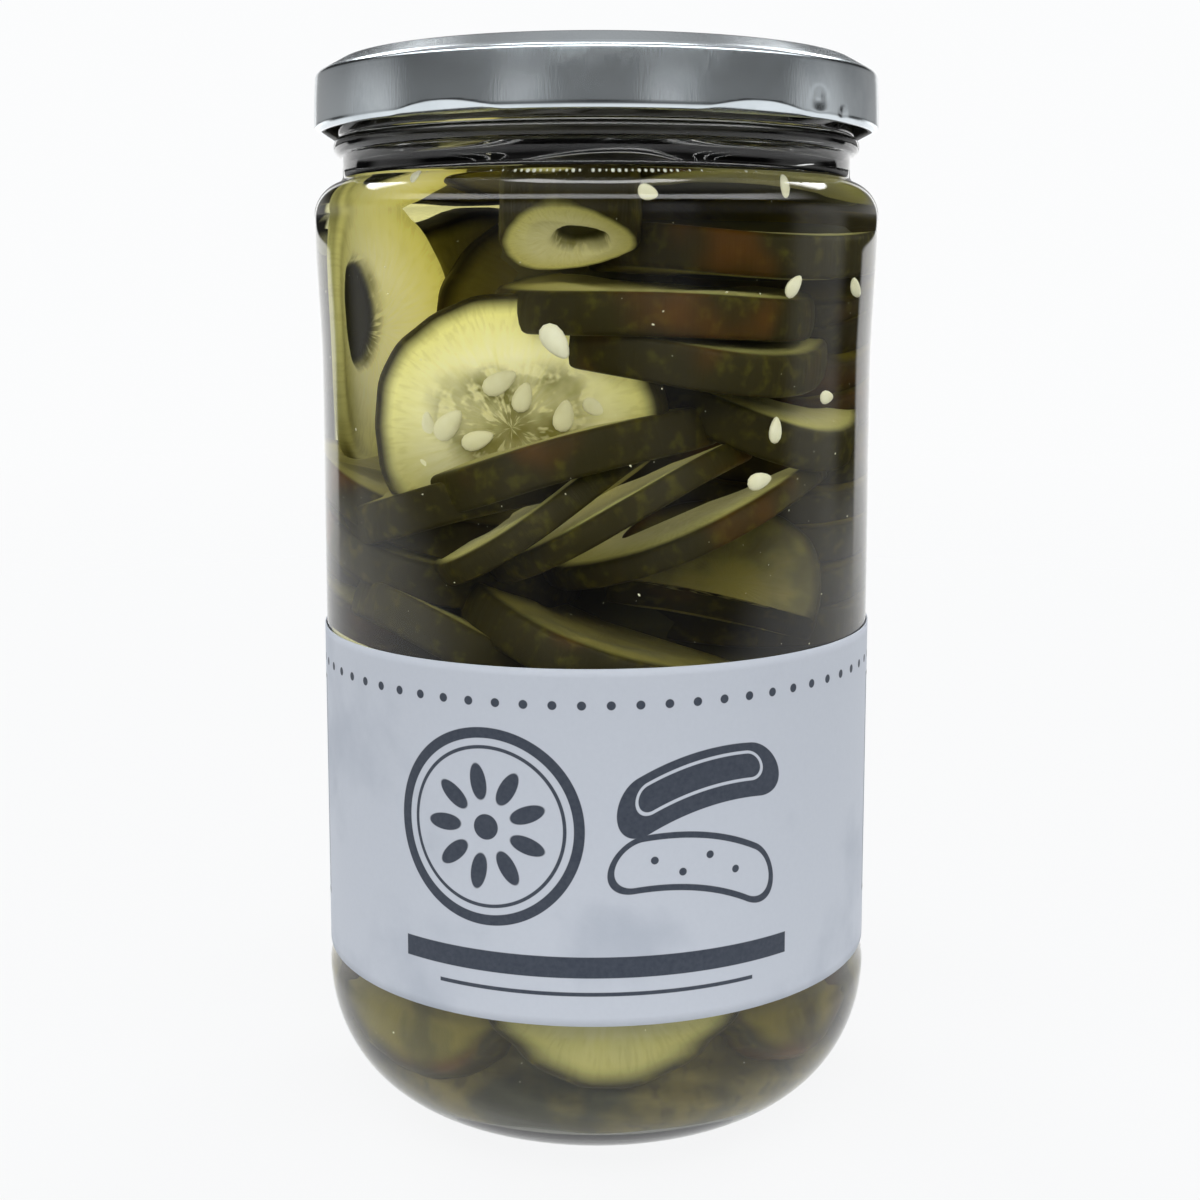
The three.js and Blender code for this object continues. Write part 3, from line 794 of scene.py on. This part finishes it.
def growing_tree(name, inputs, output):
    """A geometry tree with named inputs and one output: the tree, its nodes and its inputs."""
    tree = bpy.data.node_groups.new(name, "GeometryNodeTree")
    for kind, names in inputs.items():
        for given in names:
            tree.interface.new_socket(given, in_out="INPUT", socket_type="NodeSocket" + kind)
    tree.interface.new_socket("Material", in_out="INPUT", socket_type="NodeSocketMaterial")
    tree.interface.new_socket(output, in_out="OUTPUT", socket_type="NodeSocketGeometry")
    nodes = Nodes(tree)
    sockets = tree.nodes.new("NodeGroupInput").outputs
    return tree, nodes, {socket.name: Field(socket) for socket in sockets}


def make_real(nodes, instances, material, output):
    """Ends a tree: makes its instances one smooth mesh with a material."""
    real = nodes.add("GeometryNodeRealizeInstances", {"Geometry": instances})
    smooth = nodes.add("GeometryNodeSetShadeSmooth", {"Geometry": real})
    coated = nodes.add("GeometryNodeSetMaterial", {"Geometry": smooth, "Material": material})
    nodes.add("NodeGroupOutput", {output: coated})


def seed_tree():
    """A tree that sets one tapered seed on each point, turned as the point's own value says."""
    sizes = ("Length", "Width", "Thickness")
    inputs = {"Geometry": ("Points",), "Float": sizes, "Int": ("Segments", "Rings")}
    tree, nodes, given = growing_tree("seeds on points", inputs, "Seeds")
    facets = {"Segments": given["Segments"], "Rings": given["Rings"]}
    ball = nodes.add("GeometryNodeMeshUVSphere", {"Radius": 0.5, **facets})
    x, y, z = nodes.split(nodes.add("GeometryNodeInputPosition"))
    taper = 1 - SEED_TAPER * x
    shaped = nodes.add(
        "ShaderNodeCombineXYZ",
        {"X": x * given["Length"], "Y": y * given["Width"] * taper, "Z": z * given["Thickness"]},
    )
    seed = nodes.add("GeometryNodeSetPosition", {"Geometry": ball, "Position": shaped})
    turn = nodes.add("GeometryNodeInputNamedAttribute", {"Name": "turn"}, data_type="QUATERNION")
    spread = nodes.add("GeometryNodeInputNamedAttribute", {"Name": "size"}, data_type="FLOAT")
    set_out = nodes.add(
        "GeometryNodeInstanceOnPoints",
        {"Points": given["Points"], "Instance": seed, "Rotation": turn, "Scale": spread},
    )
    make_real(nodes, set_out, given["Material"], "Seeds")
    return tree


def grown(name, mesh, tree, values):
    """A plain mesh object of what a tree grows from a mesh, with the tree's inputs set by name."""
    piece = placed(name, mesh)
    modifier = piece.modifiers.new(name, "NODES")
    modifier.node_group = tree
    for socket in tree.interface.items_tree:
        if socket.name in values:
            modifier[socket.identifier] = values[socket.name]
    result = piece.evaluated_get(bpy.context.evaluated_depsgraph_get())
    piece.data = bpy.data.meshes.new_from_object(result)
    piece.modifiers.clear()
    return piece


def seeds_on(name, tree, spots, material, facets=SEED_FACETS):
    """A piece of seeds at spots, each a place in millimetres, a turn and a size."""
    mesh = bpy.data.meshes.new(name)
    mesh.from_pydata([tuple(spot * MM) for spot, turn, size in spots], [], [])
    keep_values(mesh, "turn", "QUATERNION", [tuple(turn) for spot, turn, size in spots])
    keep_values(mesh, "size", "FLOAT", [size for spot, turn, size in spots])
    values = {
        "Length": SEED_LENGTH * MM,
        "Width": SEED_WIDTH * MM,
        "Thickness": SEED_THICKNESS * MM,
        "Segments": facets[0],
        "Rings": facets[1],
        "Material": material,
    }
    return grown(name, mesh, tree, values)


def seeds_in_slice(item):
    """Places and turns of the seeds set in a slice's two faces, pointing out from its middle."""
    seeds = item["seeds"] or []
    for k in range(0 if seeds else SEEDS_IN_SLICE):
        angle = 360 * (k + SEED_SHIFT * scatter(k, item["number"])) / SEEDS_IN_SLICE
        share = SEED_RING + SEED_RING_SPREAD * scatter(k, item["number"] + 20)
        place = around(item["radius"] * share, angle + 90, 0)
        seeds.append((place.x, place.y, angle + SEED_SWING * scatter(k, item["number"] + 40)))
    spots = []
    for side in (1, -1):
        for across, up, roll in seeds:
            flat = Vector((across, up, side * (SLICE_THICKNESS / 2 - SEED_SUNK)))
            swing = Quaternion((0, 0, 1), math.radians(roll))
            size = SEED_SIZE + SEED_SIZE_SPREAD * scatter(across, up)
            spots.append((item["centre"] + item["turn"] @ flat, item["turn"] @ swing, size))
    return spots


def specks():
    """Places, turns and sizes of crumbs that drift in the brine beside the wall."""
    return [
        loose_seed(
            180 * scatter(k, 1),
            SPECK_MIDDLE + SPECK_SPREAD * scatter(k, 2),
            180 * scatter(k, 3),
            SPECK_LEAST + SPECK_RANGE * scatter(k, 4) ** 4,
        )
        for k in range(SPECK_COUNT)
    ]


def loose_seed(bearing, height, roll, size):
    """The place, turn and size of a seed that lies along the inside of the wall."""
    swing = Quaternion((0, 0, 1), math.radians(roll))
    face = Quaternion((0, 0, 1), math.radians(bearing)) @ Quaternion((1, 0, 0), math.radians(90))
    return around(INNER_RADIUS - WALL_GAP, bearing, height), face @ swing, size


# The seeds and specks carry a faint painted glow that makes them brighter than their lighting does.
seed_coat = mottled("seed coat", SEED_SCALE, 3, SEED_COLOURS, SEED_ROUGHNESS, SEED_GLOW)
tree = seed_tree()
set_spots = [spot for item in facing if not item["hole"] for spot in seeds_in_slice(item)]
set_seeds = seeds_on("seeds_in_slices", tree, set_spots, seed_coat)
loose_spots = [loose_seed(*seed) for seed in LOOSE_SEEDS]
loose_seeds = seeds_on("seeds_loose", tree, loose_spots, seed_coat)
drifting = seeds_on("specks", tree, specks(), seed_coat, SPECK_FACETS)
for seeds in (set_seeds, loose_seeds, drifting):
    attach(seeds, "root")


# Brine
# Dark cloudy vinegar and water that fills the jar up into the neck. It reaches a little into the wall,
# so that no air shows between it and the glass.
BRINE_OVERLAP = 0.12
MENISCUS = 0.8
BRINE_IOR = 1.34
BRINE_TINT = (0.88, 0.855, 0.65, 1)
BRINE_DENSITY = 60
BRINE_SEGMENTS = 192
heel_middle = (INNER_RADIUS - INNER_HEEL_WIDTH, FLOOR_HEIGHT + INNER_HEEL_HEIGHT)
heel_size = (INNER_HEEL_WIDTH + BRINE_OVERLAP, INNER_HEEL_HEIGHT + BRINE_OVERLAP)
floor = np.linspace(0, 1, 8)[:-1]
neck = np.linspace(SHOULDER_HEIGHT + SHOULDER_ARC, BRINE_LEVEL + MENISCUS, 4)[1:]
surface = np.linspace(1, 0, 12)[1:]
neck_radius = MOUTH_RADIUS + BRINE_OVERLAP
floor_heights = FLOOR_HEIGHT - BRINE_OVERLAP + FLOOR_CROWN * (1 - floor**2)
brine_profile = np.vstack(
    (
        np.column_stack((heel_middle[0] * floor, floor_heights)),
        arc(heel_middle, heel_size, -90, 0, 24),
        arc((neck_radius, SHOULDER_HEIGHT), (INNER_RADIUS - MOUTH_RADIUS, SHOULDER_ARC), 0, 90, 12),
        np.column_stack((np.full(len(neck), neck_radius), neck)),
        np.column_stack((MOUTH_RADIUS * surface, BRINE_LEVEL + MENISCUS * surface**24)),
    )
)
liquid, nodes = finish("brine")
to_lamp = nodes.add("ShaderNodeLightPath", output="Is Shadow Ray")
bent = nodes.add("ShaderNodeBsdfRefraction", {"Color": (1, 1, 1, 1), "Roughness": 0.0, "IOR": BRINE_IOR})
nodes.surface(nodes.shader_mix(to_lamp, bent, nodes.add("ShaderNodeBsdfTransparent")))
absorbed = nodes.add("ShaderNodeVolumeAbsorption", {"Color": BRINE_TINT, "Density": BRINE_DENSITY})
join(absorbed, nodes.tree.nodes["Material Output"].inputs["Volume"])
brine = mesh_piece("brine", *turned(brine_profile, BRINE_SEGMENTS), liquid)
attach(brine, "root")


# Bubbles
# Beads of air that cling to the glass just under the brine's surface, strung closely along the front
# and far apart elsewhere. Their opaque white colour and faint glow are a painted highlight, in place
# of the light that clear beads catch.
BUBBLE_SPOTS = 270
BUBBLE_SIZE = 0.62
BUBBLE_LEAST = 0.45
BUBBLE_DEPTH = 2.1
BUBBLE_SEED = 7
BUBBLE_FEW = 0.07
BUBBLE_MANY = 0.8
BUBBLE_COLOURS = (colour(206, 208, 200), colour(246, 247, 242))
BUBBLE_GLOW = (0.2, 0.2, 0.18, 1)
BUBBLE_SCALE = 900
BUBBLE_ROUGHNESS = 0.15


def bubble_tree():
    """A tree that strings beads of random size along a ring, closely where it faces the front."""
    inputs = {"Float": ("Radius", "Height", "Size"), "Int": ("Spots", "Seed")}
    tree, nodes, given = growing_tree("beads on a ring", inputs, "Beads")
    ring = nodes.add("GeometryNodeMeshCircle", {"Vertices": given["Spots"], "Radius": given["Radius"]})
    lift = nodes.add("ShaderNodeCombineXYZ", {"Z": given["Height"]})
    ring = nodes.add("GeometryNodeSetPosition", {"Geometry": ring, "Offset": lift})
    bead = nodes.add("GeometryNodeMeshIcoSphere", {"Radius": given["Size"] * 0.5, "Subdivisions": 1})
    front = nodes.split(nodes.add("GeometryNodeInputPosition"))[1] / given["Radius"] * -1
    draw = {"ID": nodes.add("GeometryNodeInputIndex"), "Seed": given["Seed"]}
    odds = {"Probability": BUBBLE_FEW + BUBBLE_MANY * front.ramp(0.9, 0.95), **draw}
    kept = nodes.add("FunctionNodeRandomValue", odds, 3, data_type="BOOLEAN")
    limits = {2: BUBBLE_LEAST, 3: 1.0, **draw}
    growth = nodes.add("FunctionNodeRandomValue", limits, 1, data_type="FLOAT")
    beads = nodes.add(
        "GeometryNodeInstanceOnPoints",
        {"Points": ring, "Selection": kept, "Instance": bead, "Scale": growth},
    )
    make_real(nodes, beads, given["Material"], "Beads")
    return tree


bubble_skin = mottled("bubble skin", BUBBLE_SCALE, 2, BUBBLE_COLOURS, BUBBLE_ROUGHNESS, BUBBLE_GLOW)
bubble_height = BRINE_LEVEL - BUBBLE_DEPTH
bubble_values = {
    "Radius": (heap_radius(bubble_height) + HEAP_CLEARANCE - BUBBLE_SIZE / 2) * MM,
    "Height": bubble_height * MM,
    "Size": BUBBLE_SIZE * MM,
    "Spots": BUBBLE_SPOTS,
    "Seed": BUBBLE_SEED,
    "Material": bubble_skin,
}
bubbles = grown("bubbles", bpy.data.meshes.new("bubbles"), bubble_tree(), bubble_values)
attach(bubbles, "root")


# Paper label
# A strip of pale uncoated paper, printed in dark blue on its outer side and pasted round the set-in
# panel of the glass a little out of level. Damp has left faint blotches in it.
label_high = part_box("label")[1] / MM
LABEL_OUTER = label_high.x
LABEL_SHEET = 0.2
LABEL_WRAP = 270
LABEL_BOTTOM = 23.8
LABEL_TOP = 73.8
LABEL_SLOPE = 0.0055
LABEL_COLUMNS = 360
LABEL_ROWS = 40
PAPER = colour(190, 196, 206)
PAPER_DAMP = colour(160, 168, 181)
INK = colour(38, 47, 62)
EDGE_SOFT = 0.06
PAPER_ROUGHNESS = 0.62
PAPER_SHINE = 0.35
FIBRE_FINE = 1600
FIBRE_TINT = 0.18
FIBRE_HEIGHT = 0.25
DAMP_SCALE = 45
DAMP_SHARE = 0.6
WARP_SCALE = 60
PAPER_BUMP = 0.25
PAPER_DEPTH = 0.25
INK_WEAR = 0.08
MOTIF_MIDDLE = (-15.5, 27.5)
MOTIF_RINGS = [(13.2, 0.75), (11.2, 0.25)]
MOTIF_DOT = 1.8
MOTIF_SEEDS = 9
MOTIF_SEED_RADIUS = 6.4
MOTIF_SEED_SIZE = (2.6, 1.2)
DARK_GHERKIN = (14.5, 34, 12, 8.5, 4)
DARK_GHERKIN_LINE = (14.5, 34.6, 12, 7.5, 2)
PALE_GHERKIN = (14.5, 22.6, -10, 8.5, 3.7)
GHERKIN_BEND = 0.018
GHERKIN_OUTLINE = 0.45
GHERKIN_INLINE = 0.22
WARTS = [(8, 23.3, 0.55), (12, 21.4, 0.55), (16, 23.4, 0.55), (20, 20.8, 0.55)]
BARS = [(0, 8.4, 29, 1.5), (0, 4.6, 23, 0.28)]
DOT_PITCH = 4
DOT_HEIGHT = 45
DOT_RADIUS = 0.62
TABLE_MIDDLE = (72, 25)
TABLE_FRAME = (15, 17)
TABLE_ROWS = (12, 14)
TABLE_PITCH = 4
TABLE_LINE = 0.3


def label_strip(material):
    """The strip as a thin closed sheet whose points keep their place on the flat paper, in mm."""
    bearings = np.linspace(-LABEL_WRAP / 2, LABEL_WRAP / 2, LABEL_COLUMNS + 1)
    heights = np.linspace(0, LABEL_TOP - LABEL_BOTTOM, LABEL_ROWS + 1)
    bearing, height = (grid.ravel() for grid in np.meshgrid(bearings, heights, indexing="ij"))
    angle = np.radians(bearing)
    flat = np.column_stack((LABEL_OUTER * angle, height, np.zeros(len(angle))))
    sides = []
    for radius in (LABEL_OUTER - LABEL_SHEET, LABEL_OUTER):
        x = radius * np.sin(angle)
        level = LABEL_BOTTOM + height + LABEL_SLOPE * x
        sides.append(np.column_stack((x, -radius * np.cos(angle), level)))
    across = LABEL_ROWS + 1
    sheet = len(bearing)
    faces = []
    for i in range(LABEL_COLUMNS):
        for j in range(LABEL_ROWS):
            a = i * across + j
            faces.append((a, a + 1, a + across + 1, a + across))
            faces.append((sheet + a, sheet + a + across, sheet + a + across + 1, sheet + a + 1))
    bottom = [i * across for i in range(LABEL_COLUMNS + 1)]
    right = [bottom[-1] + j for j in range(1, across)]
    top = [a + LABEL_ROWS for a in bottom[-2::-1]]
    left = list(range(LABEL_ROWS - 1, 0, -1))
    border = bottom + right + top + left
    for a, b in zip(border, border[1:] + border[:1]):
        faces.append((a, b, sheet + b, sheet + a))
    piece = mesh_piece("label_paper", np.vstack(sides), faces, material)
    keep_values(piece.data, "sheet_place", "FLOAT_VECTOR", np.vstack((flat, flat)))
    keep_values(piece.data, "front_side", "FLOAT", np.repeat((0.0, 1.0), sheet))
    return piece


paper, nodes = finish("label paper")
place = nodes.place()
u, v = nodes.split(nodes.stored("sheet_place", "Vector"))[:2]


def inside(distance):
    """1 where a signed distance in millimetres is below zero, with a soft printed edge."""
    return distance.ramp(EDGE_SOFT, -EDGE_SOFT)


def disc(x, y, radius):
    return ((u - x) ** 2 + (v - y) ** 2) ** 0.5 - radius


def bar(x, y, half_width, half_height):
    return (abs(u - x) - half_width).most(abs(v - y) - half_height)


def gherkin(x, y, angle, half_length, radius):
    """Signed distance to a bent, round-ended gherkin."""
    turn = math.radians(angle)
    across = (u - x) * math.cos(turn) + (v - y) * math.sin(turn)
    over = (v - y) * math.cos(turn) - (u - x) * math.sin(turn) + GHERKIN_BEND * across**2
    past = (abs(across) - half_length).most(0)
    return (past**2 + over**2) ** 0.5 - radius


middle = disc(*MOTIF_MIDDLE, 0)
sector = 2 * math.pi / MOTIF_SEEDS
seed_angle = (v - MOTIF_MIDDLE[1]).maths("ARCTAN2", u - MOTIF_MIDDLE[0])
seed_across = (seed_angle % sector - sector / 2) * middle / MOTIF_SEED_SIZE[1]
seed_along = (middle - MOTIF_SEED_RADIUS) / MOTIF_SEED_SIZE[0]
shapes = [
    (seed_along**2 + seed_across**2) ** 0.5 - 1,
    middle - MOTIF_DOT,
    abs(gherkin(*PALE_GHERKIN)) - GHERKIN_OUTLINE,
    ((u % DOT_PITCH - DOT_PITCH / 2) ** 2 + (v - DOT_HEIGHT) ** 2) ** 0.5 - DOT_RADIUS,
]
shapes += [abs(middle - radius) - half for radius, half in MOTIF_RINGS]
shapes += [bar(*sizes) for sizes in BARS]
shapes += [disc(*wart) for wart in WARTS]
for side in (-1, 1):
    table = (TABLE_MIDDLE[0] * side, TABLE_MIDDLE[1])
    rows = abs(v % TABLE_PITCH - TABLE_PITCH / 2) - TABLE_LINE
    shapes.append(abs(bar(*table, *TABLE_FRAME)) - TABLE_LINE)
    shapes.append(bar(*table, *TABLE_ROWS).most(rows))
inline = inside(abs(gherkin(*DARK_GHERKIN_LINE)) - GHERKIN_INLINE)
ink = inside(gherkin(*DARK_GHERKIN)) * (1 - inline)
for shape in shapes:
    ink = ink.most(inside(shape))
paper_fibre = nodes.noise(place, FIBRE_FINE, 4)
damp = nodes.noise(place, DAMP_SCALE, 4).ramp(0.52, 0.72)
sheet = nodes.mix(damp * DAMP_SHARE, PAPER, PAPER_DAMP)
sheet = nodes.mix(paper_fibre * FIBRE_TINT, sheet, PAPER_DAMP)
ink *= nodes.stored("front_side") * (1 - INK_WEAR + INK_WEAR * paper_fibre)
texture = paper_fibre * FIBRE_HEIGHT + nodes.noise(place, WARP_SCALE, 2)
nodes.principled(
    {
        "Base Color": nodes.mix(ink, sheet, INK),
        "Roughness": PAPER_ROUGHNESS,
        "Specular IOR Level": PAPER_SHINE,
        "Normal": nodes.bump(texture, PAPER_BUMP, PAPER_DEPTH),
    }
)
label = label_strip(paper)
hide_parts("label")
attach(label, "root")


# Lid
# Thin tinplate, stamped with a raised sealing ring and a sunken panel with a vacuum button. The
# skirt's edge is rolled inwards and pressed into six lugs, with two small dents beside one of them.
lid_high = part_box("lid")[1] / MM
LID_RADIUS = lid_high.x
LID_BOTTOM = 147.3
LID_TOP = lid_high.z
LID_SHEET = 0.6
CURL_WIDTH = 1.8
CURL_HEIGHT = 2
SKIRT_DRAFT = 0.25
KNEE_ROUND = 0.9
KNEE_HEIGHT = 155.1
KNEE_SWEEP = 58
TOP_RING_RADIUS = 38.4
RING_ROUND = 0.8
TOP_RING_WIDTH = 2
LID_PANEL_RADIUS = 34.6
LID_PANEL_DROP = 1.1
BUTTON_RADIUS = 15
BUTTON_DROP = 0.7
LUG_SLOPE = 0.6
LUG_HALF_WIDTH = 12.5
LUG_HEIGHT = 1.6
LID_SEGMENTS = 480

# Dents: bearing from the front, height, size and depth.
DENTS = [(45.5, 149.8, 2.2, 0.28), (53.5, 148.4, 1.4, 0.2)]
TIN = colour(221, 229, 234)
TIN_WORN = colour(198, 207, 213)
LACQUER_COLOURS = (colour(30, 29, 24), colour(46, 44, 37))
LACQUER_SCALE = 300
LACQUER_ROUGHNESS = 0.45
TIN_STRETCH = (60, 160, 300)
TIN_STREAK_SCALE = 3
SCUFF_SCALE = 120
SCUFF_SHARE = 0.6
TIN_ROUGHNESS = 0.12
STREAK_ROUGHNESS = 0.1
SCUFF_ROUGHNESS = 0.05
GRAIN_BUMP = 0.12
GRAIN_DEPTH = 0.1


def lid_profile():
    """The sheet from the middle of the underside, out, round the rolled edge, and back over the top."""
    panel = LID_TOP - LID_PANEL_DROP
    slope = np.linspace(0, 1, 10)
    eased = smooth_step(slope, 0, 1)
    button = np.column_stack((BUTTON_RADIUS - 2 + 2 * slope, panel - BUTTON_DROP * (1 - eased)))
    ring_inner = TOP_RING_RADIUS - TOP_RING_WIDTH
    widening = LID_PANEL_RADIUS + (ring_inner - LID_PANEL_RADIUS) * slope
    step = np.column_stack((widening, panel + LID_PANEL_DROP * eased))
    ring = np.column_stack((np.linspace(ring_inner, TOP_RING_RADIUS, 4)[1:], np.full(3, LID_TOP)))
    crown = np.vstack((button, step, ring))
    knee_middle = (LID_RADIUS - SKIRT_DRAFT - KNEE_ROUND, KNEE_HEIGHT)
    knee = arc(knee_middle, (KNEE_ROUND,) * 2, 4, KNEE_SWEEP, 10)
    ring_edge = arc((TOP_RING_RADIUS, LID_TOP - RING_ROUND), (RING_ROUND,) * 2, KNEE_SWEEP, 90, 6)[:-1]
    cone = knee[-1] + (ring_edge[0] - knee[-1]) * np.linspace(0, 1, 6)[1:-1, None]
    rim = np.vstack((knee, cone, ring_edge))
    rise = np.linspace(0, 1, 24)[1:-1]
    curl_middle = (LID_RADIUS - CURL_WIDTH / 2, LID_BOTTOM + CURL_HEIGHT / 2)
    skirt = np.column_stack(
        (LID_RADIUS - SKIRT_DRAFT * rise**2, curl_middle[1] + (KNEE_HEIGHT - curl_middle[1]) * rise)
    )
    inside = LID_RADIUS - SKIRT_DRAFT - LID_SHEET
    return np.vstack(
        (
            [(0, panel - BUTTON_DROP - LID_SHEET)],
            crown - (0, LID_SHEET),
            rim[::-1] - (LID_SHEET, LID_SHEET),
            [(inside, LID_BOTTOM + CURL_HEIGHT + LID_SHEET)],
            arc(curl_middle, (CURL_WIDTH / 2, CURL_HEIGHT / 2), 110, 360, 20),
            skirt,
            rim,
            crown[::-1],
            [(0, panel - BUTTON_DROP)],
        )
    )


def press_lugs(points):
    """Presses the skirt's foot inwards at each lug, most at the rolled edge."""
    hill = LUG_HEIGHT * np.clip(1 - (lug_offset(points) / LUG_HALF_WIDTH) ** 2, 0, 1)
    press = LUG_SLOPE * np.clip(hill - (points[:, 2] - LID_BOTTOM), 0, None)
    push_out(points, -press)


def press_dents(points):
    """Pushes the small dents into the skirt."""
    for bearing, height, size, depth in DENTS:
        middle = np.array(around(LID_RADIUS, bearing, height))
        gap = np.linalg.norm(points - middle, axis=1)
        push_out(points, -depth * (1 - smooth_step(gap, 0, size)))


tin, nodes = finish("satin tinplate")
place = nodes.place()
x, y, z = nodes.split(place)
polar = (x.maths("ARCTAN2", y), z, (x * x + y * y) ** 0.5)
drawn = {axis: part * by for axis, part, by in zip("XYZ", polar, TIN_STRETCH)}
streaks = nodes.noise(nodes.add("ShaderNodeCombineXYZ", drawn), TIN_STREAK_SCALE, 4)
scuffs = nodes.noise(place, SCUFF_SCALE, 4).ramp(0.45, 0.75)
nodes.principled(
    {
        "Base Color": nodes.mix(scuffs * SCUFF_SHARE, TIN, TIN_WORN),
        "Metallic": 1.0,
        "Roughness": TIN_ROUGHNESS + STREAK_ROUGHNESS * streaks + SCUFF_ROUGHNESS * scuffs,
        "Normal": nodes.bump(streaks, GRAIN_BUMP, GRAIN_DEPTH),
    }
)
# The lid's inside is lacquer coloured near black, as painted shade of the headspace under the lid.
lacquer = mottled("lid lacquer", LACQUER_SCALE, 3, LACQUER_COLOURS, LACQUER_ROUGHNESS)
points, faces = turned(lid_profile(), LID_SEGMENTS)
press_lugs(points)
press_dents(points)
lid = mesh_piece("lid_tinplate", points, faces, tin)
lid.data.materials.append(lacquer)
for face in lid.data.polygons:
    middle = Vector((0, 0, LID_BOTTOM * MM))
    face.material_index = int(face.normal.dot(face.center - middle) < 0)
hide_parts("lid")
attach(lid, "root")


# Studio
# A pale floor that fades into a pale backdrop, and soft light from both sides, from behind and from
# above, with a darker room behind the camera.
FLOOR_SIZE = 3
FLOOR_COLOUR = colour(205, 206, 207)
FLOOR_GLOW = 0.9
FLOOR_SHADE = 0.12
FLOOR_FADE = (0.35, 1.2)
FLOOR_FRONT = (-0.12, -0.4)
BACKDROP = (0.97, 0.975, 0.98, 1)
ROOM_GLOW = 0.022
NEAR_GLOW = 0.1
NEAR_HIGH_GLOW = 0.24
SIDE_GLOW = 0.42
VEIL_GLOW = 0.06
FILL_GLOW = 0.17
FAR_FILL_GLOW = 0.32
BACK_GLOW = 1.25
FRONT_GLOW = 4.8
CEILING_GLOW = 0.5
WINDOW_GLOW = 10
STRIP_GLOW = 8
EYE_LEVEL = (0.04, 0.07)
NEAR_PANEL = (29, 14)
SIDE_PANEL = (100, 22)
WINDOW_PANEL = (140, 24)
WINDOW_HEIGHT = 0.63
EYE_DISTANCE = 270.4
EYE_HEIGHT = 123.5
EYE_DOWN = 7.05
LENS_MM = 52.15
SENSOR_MM = 36
FRAME_SHIFT = (0.003, -0.075)

floor_paint, nodes = finish("studio floor")
place = nodes.place()
far = nodes.add("ShaderNodeVectorMath", {0: place}, "Value", operation="LENGTH").ramp(*FLOOR_FADE)
front = nodes.split(place)[1].ramp(*FLOOR_FRONT)
matt = nodes.add("ShaderNodeBsdfDiffuse", {"Color": FLOOR_COLOUR})
glow = nodes.add("ShaderNodeEmission", {"Color": BACKDROP, "Strength": 1.0})
shade = nodes.add("ShaderNodeEmission", {"Color": BACKDROP, "Strength": FLOOR_SHADE})
eye = nodes.add("ShaderNodeLightPath", output="Is Camera Ray")
lit = nodes.shader_mix(FLOOR_GLOW, matt, glow)
lit = nodes.shader_mix(front * (1 - eye), lit, shade)
nodes.surface(nodes.shader_mix(far, lit, nodes.add("ShaderNodeBsdfTransparent")))
corners = [(-1, -1, 0), (1, -1, 0), (1, 1, 0), (-1, 1, 0)]
ground = mesh_piece("studio_floor", np.array(corners) * FLOOR_SIZE / MM, [(0, 1, 2, 3)], floor_paint)

world = bpy.data.worlds.new("studio")
world.use_nodes = True
scene = bpy.context.scene
scene.world = world
nodes = Nodes(world.node_tree)
x, y, z = nodes.split(nodes.add("ShaderNodeTexCoord", output="Generated"))
turn = abs(x).maths("ARCTAN2", 0 - y) * (180 / math.pi)


def panel(middle, half):
    """A soft upright light panel on both sides, by its angle from the camera's side of the jar."""
    return abs(turn - middle).ramp(half, half * 0.4)


above_eye = z.ramp(*EYE_LEVEL)
near = (NEAR_GLOW + NEAR_HIGH_GLOW * above_eye) * panel(*NEAR_PANEL)
veil = VEIL_GLOW * turn.ramp(8, 9.5) * turn.ramp(60, 40) * (1 - above_eye)
fill = above_eye * (FILL_GLOW * turn.ramp(120, 100) + FAR_FILL_GLOW * turn.ramp(110, 122))
sides = z.ramp(0.3, 0.1) * (near + SIDE_GLOW * panel(*SIDE_PANEL) + veil + fill)
back_edge = (turn - 24 * z.ramp(0, 0.04)).ramp(133, 137)
back_gap = turn.ramp(162, 166) * z.ramp(0.04, 0.06)
behind = BACK_GLOW * z.ramp(0.5, 0.2) * back_edge * (1 - back_gap)
front = FRONT_GLOW * z.ramp(0.34, 0.42) * z.ramp(0.6, 0.52) * turn.ramp(110, 60)
strip = STRIP_GLOW * z.ramp(0.92, 0.935) * z.ramp(0.98, 0.965) * turn.ramp(100, 70)
windows = WINDOW_GLOW * panel(*WINDOW_PANEL) * abs(z - WINDOW_HEIGHT).ramp(0.1, 0.07)
room = ROOM_GLOW + sides + behind + front + strip + windows + CEILING_GLOW * z.ramp(0.5, 0.9)
studio = nodes.add("ShaderNodeBackground", {"Color": (1, 1, 1, 1), "Strength": room})
seen = nodes.add("ShaderNodeBackground", {"Color": BACKDROP, "Strength": 1.0})
eye = nodes.add("ShaderNodeLightPath", output="Is Camera Ray")
nodes.add("ShaderNodeOutputWorld", {"Surface": nodes.shader_mix(eye, studio, seen)})

camera = placed("camera", bpy.data.cameras.new("camera"))
camera.data.lens = LENS_MM
camera.data.sensor_width = SENSOR_MM
camera.data.shift_x, camera.data.shift_y = FRAME_SHIFT
camera.data.clip_start = 0.01
camera.location = (0, -EYE_DISTANCE * MM, EYE_HEIGHT * MM)
camera.rotation_euler = (math.radians(90 - EYE_DOWN), 0, 0)
scene.camera = camera
scene.view_settings.view_transform = "Standard"
scene.cycles.max_bounces = 7
scene.cycles.diffuse_bounces = 1
scene.cycles.transmission_bounces = 7
scene.cycles.transparent_max_bounces = 6
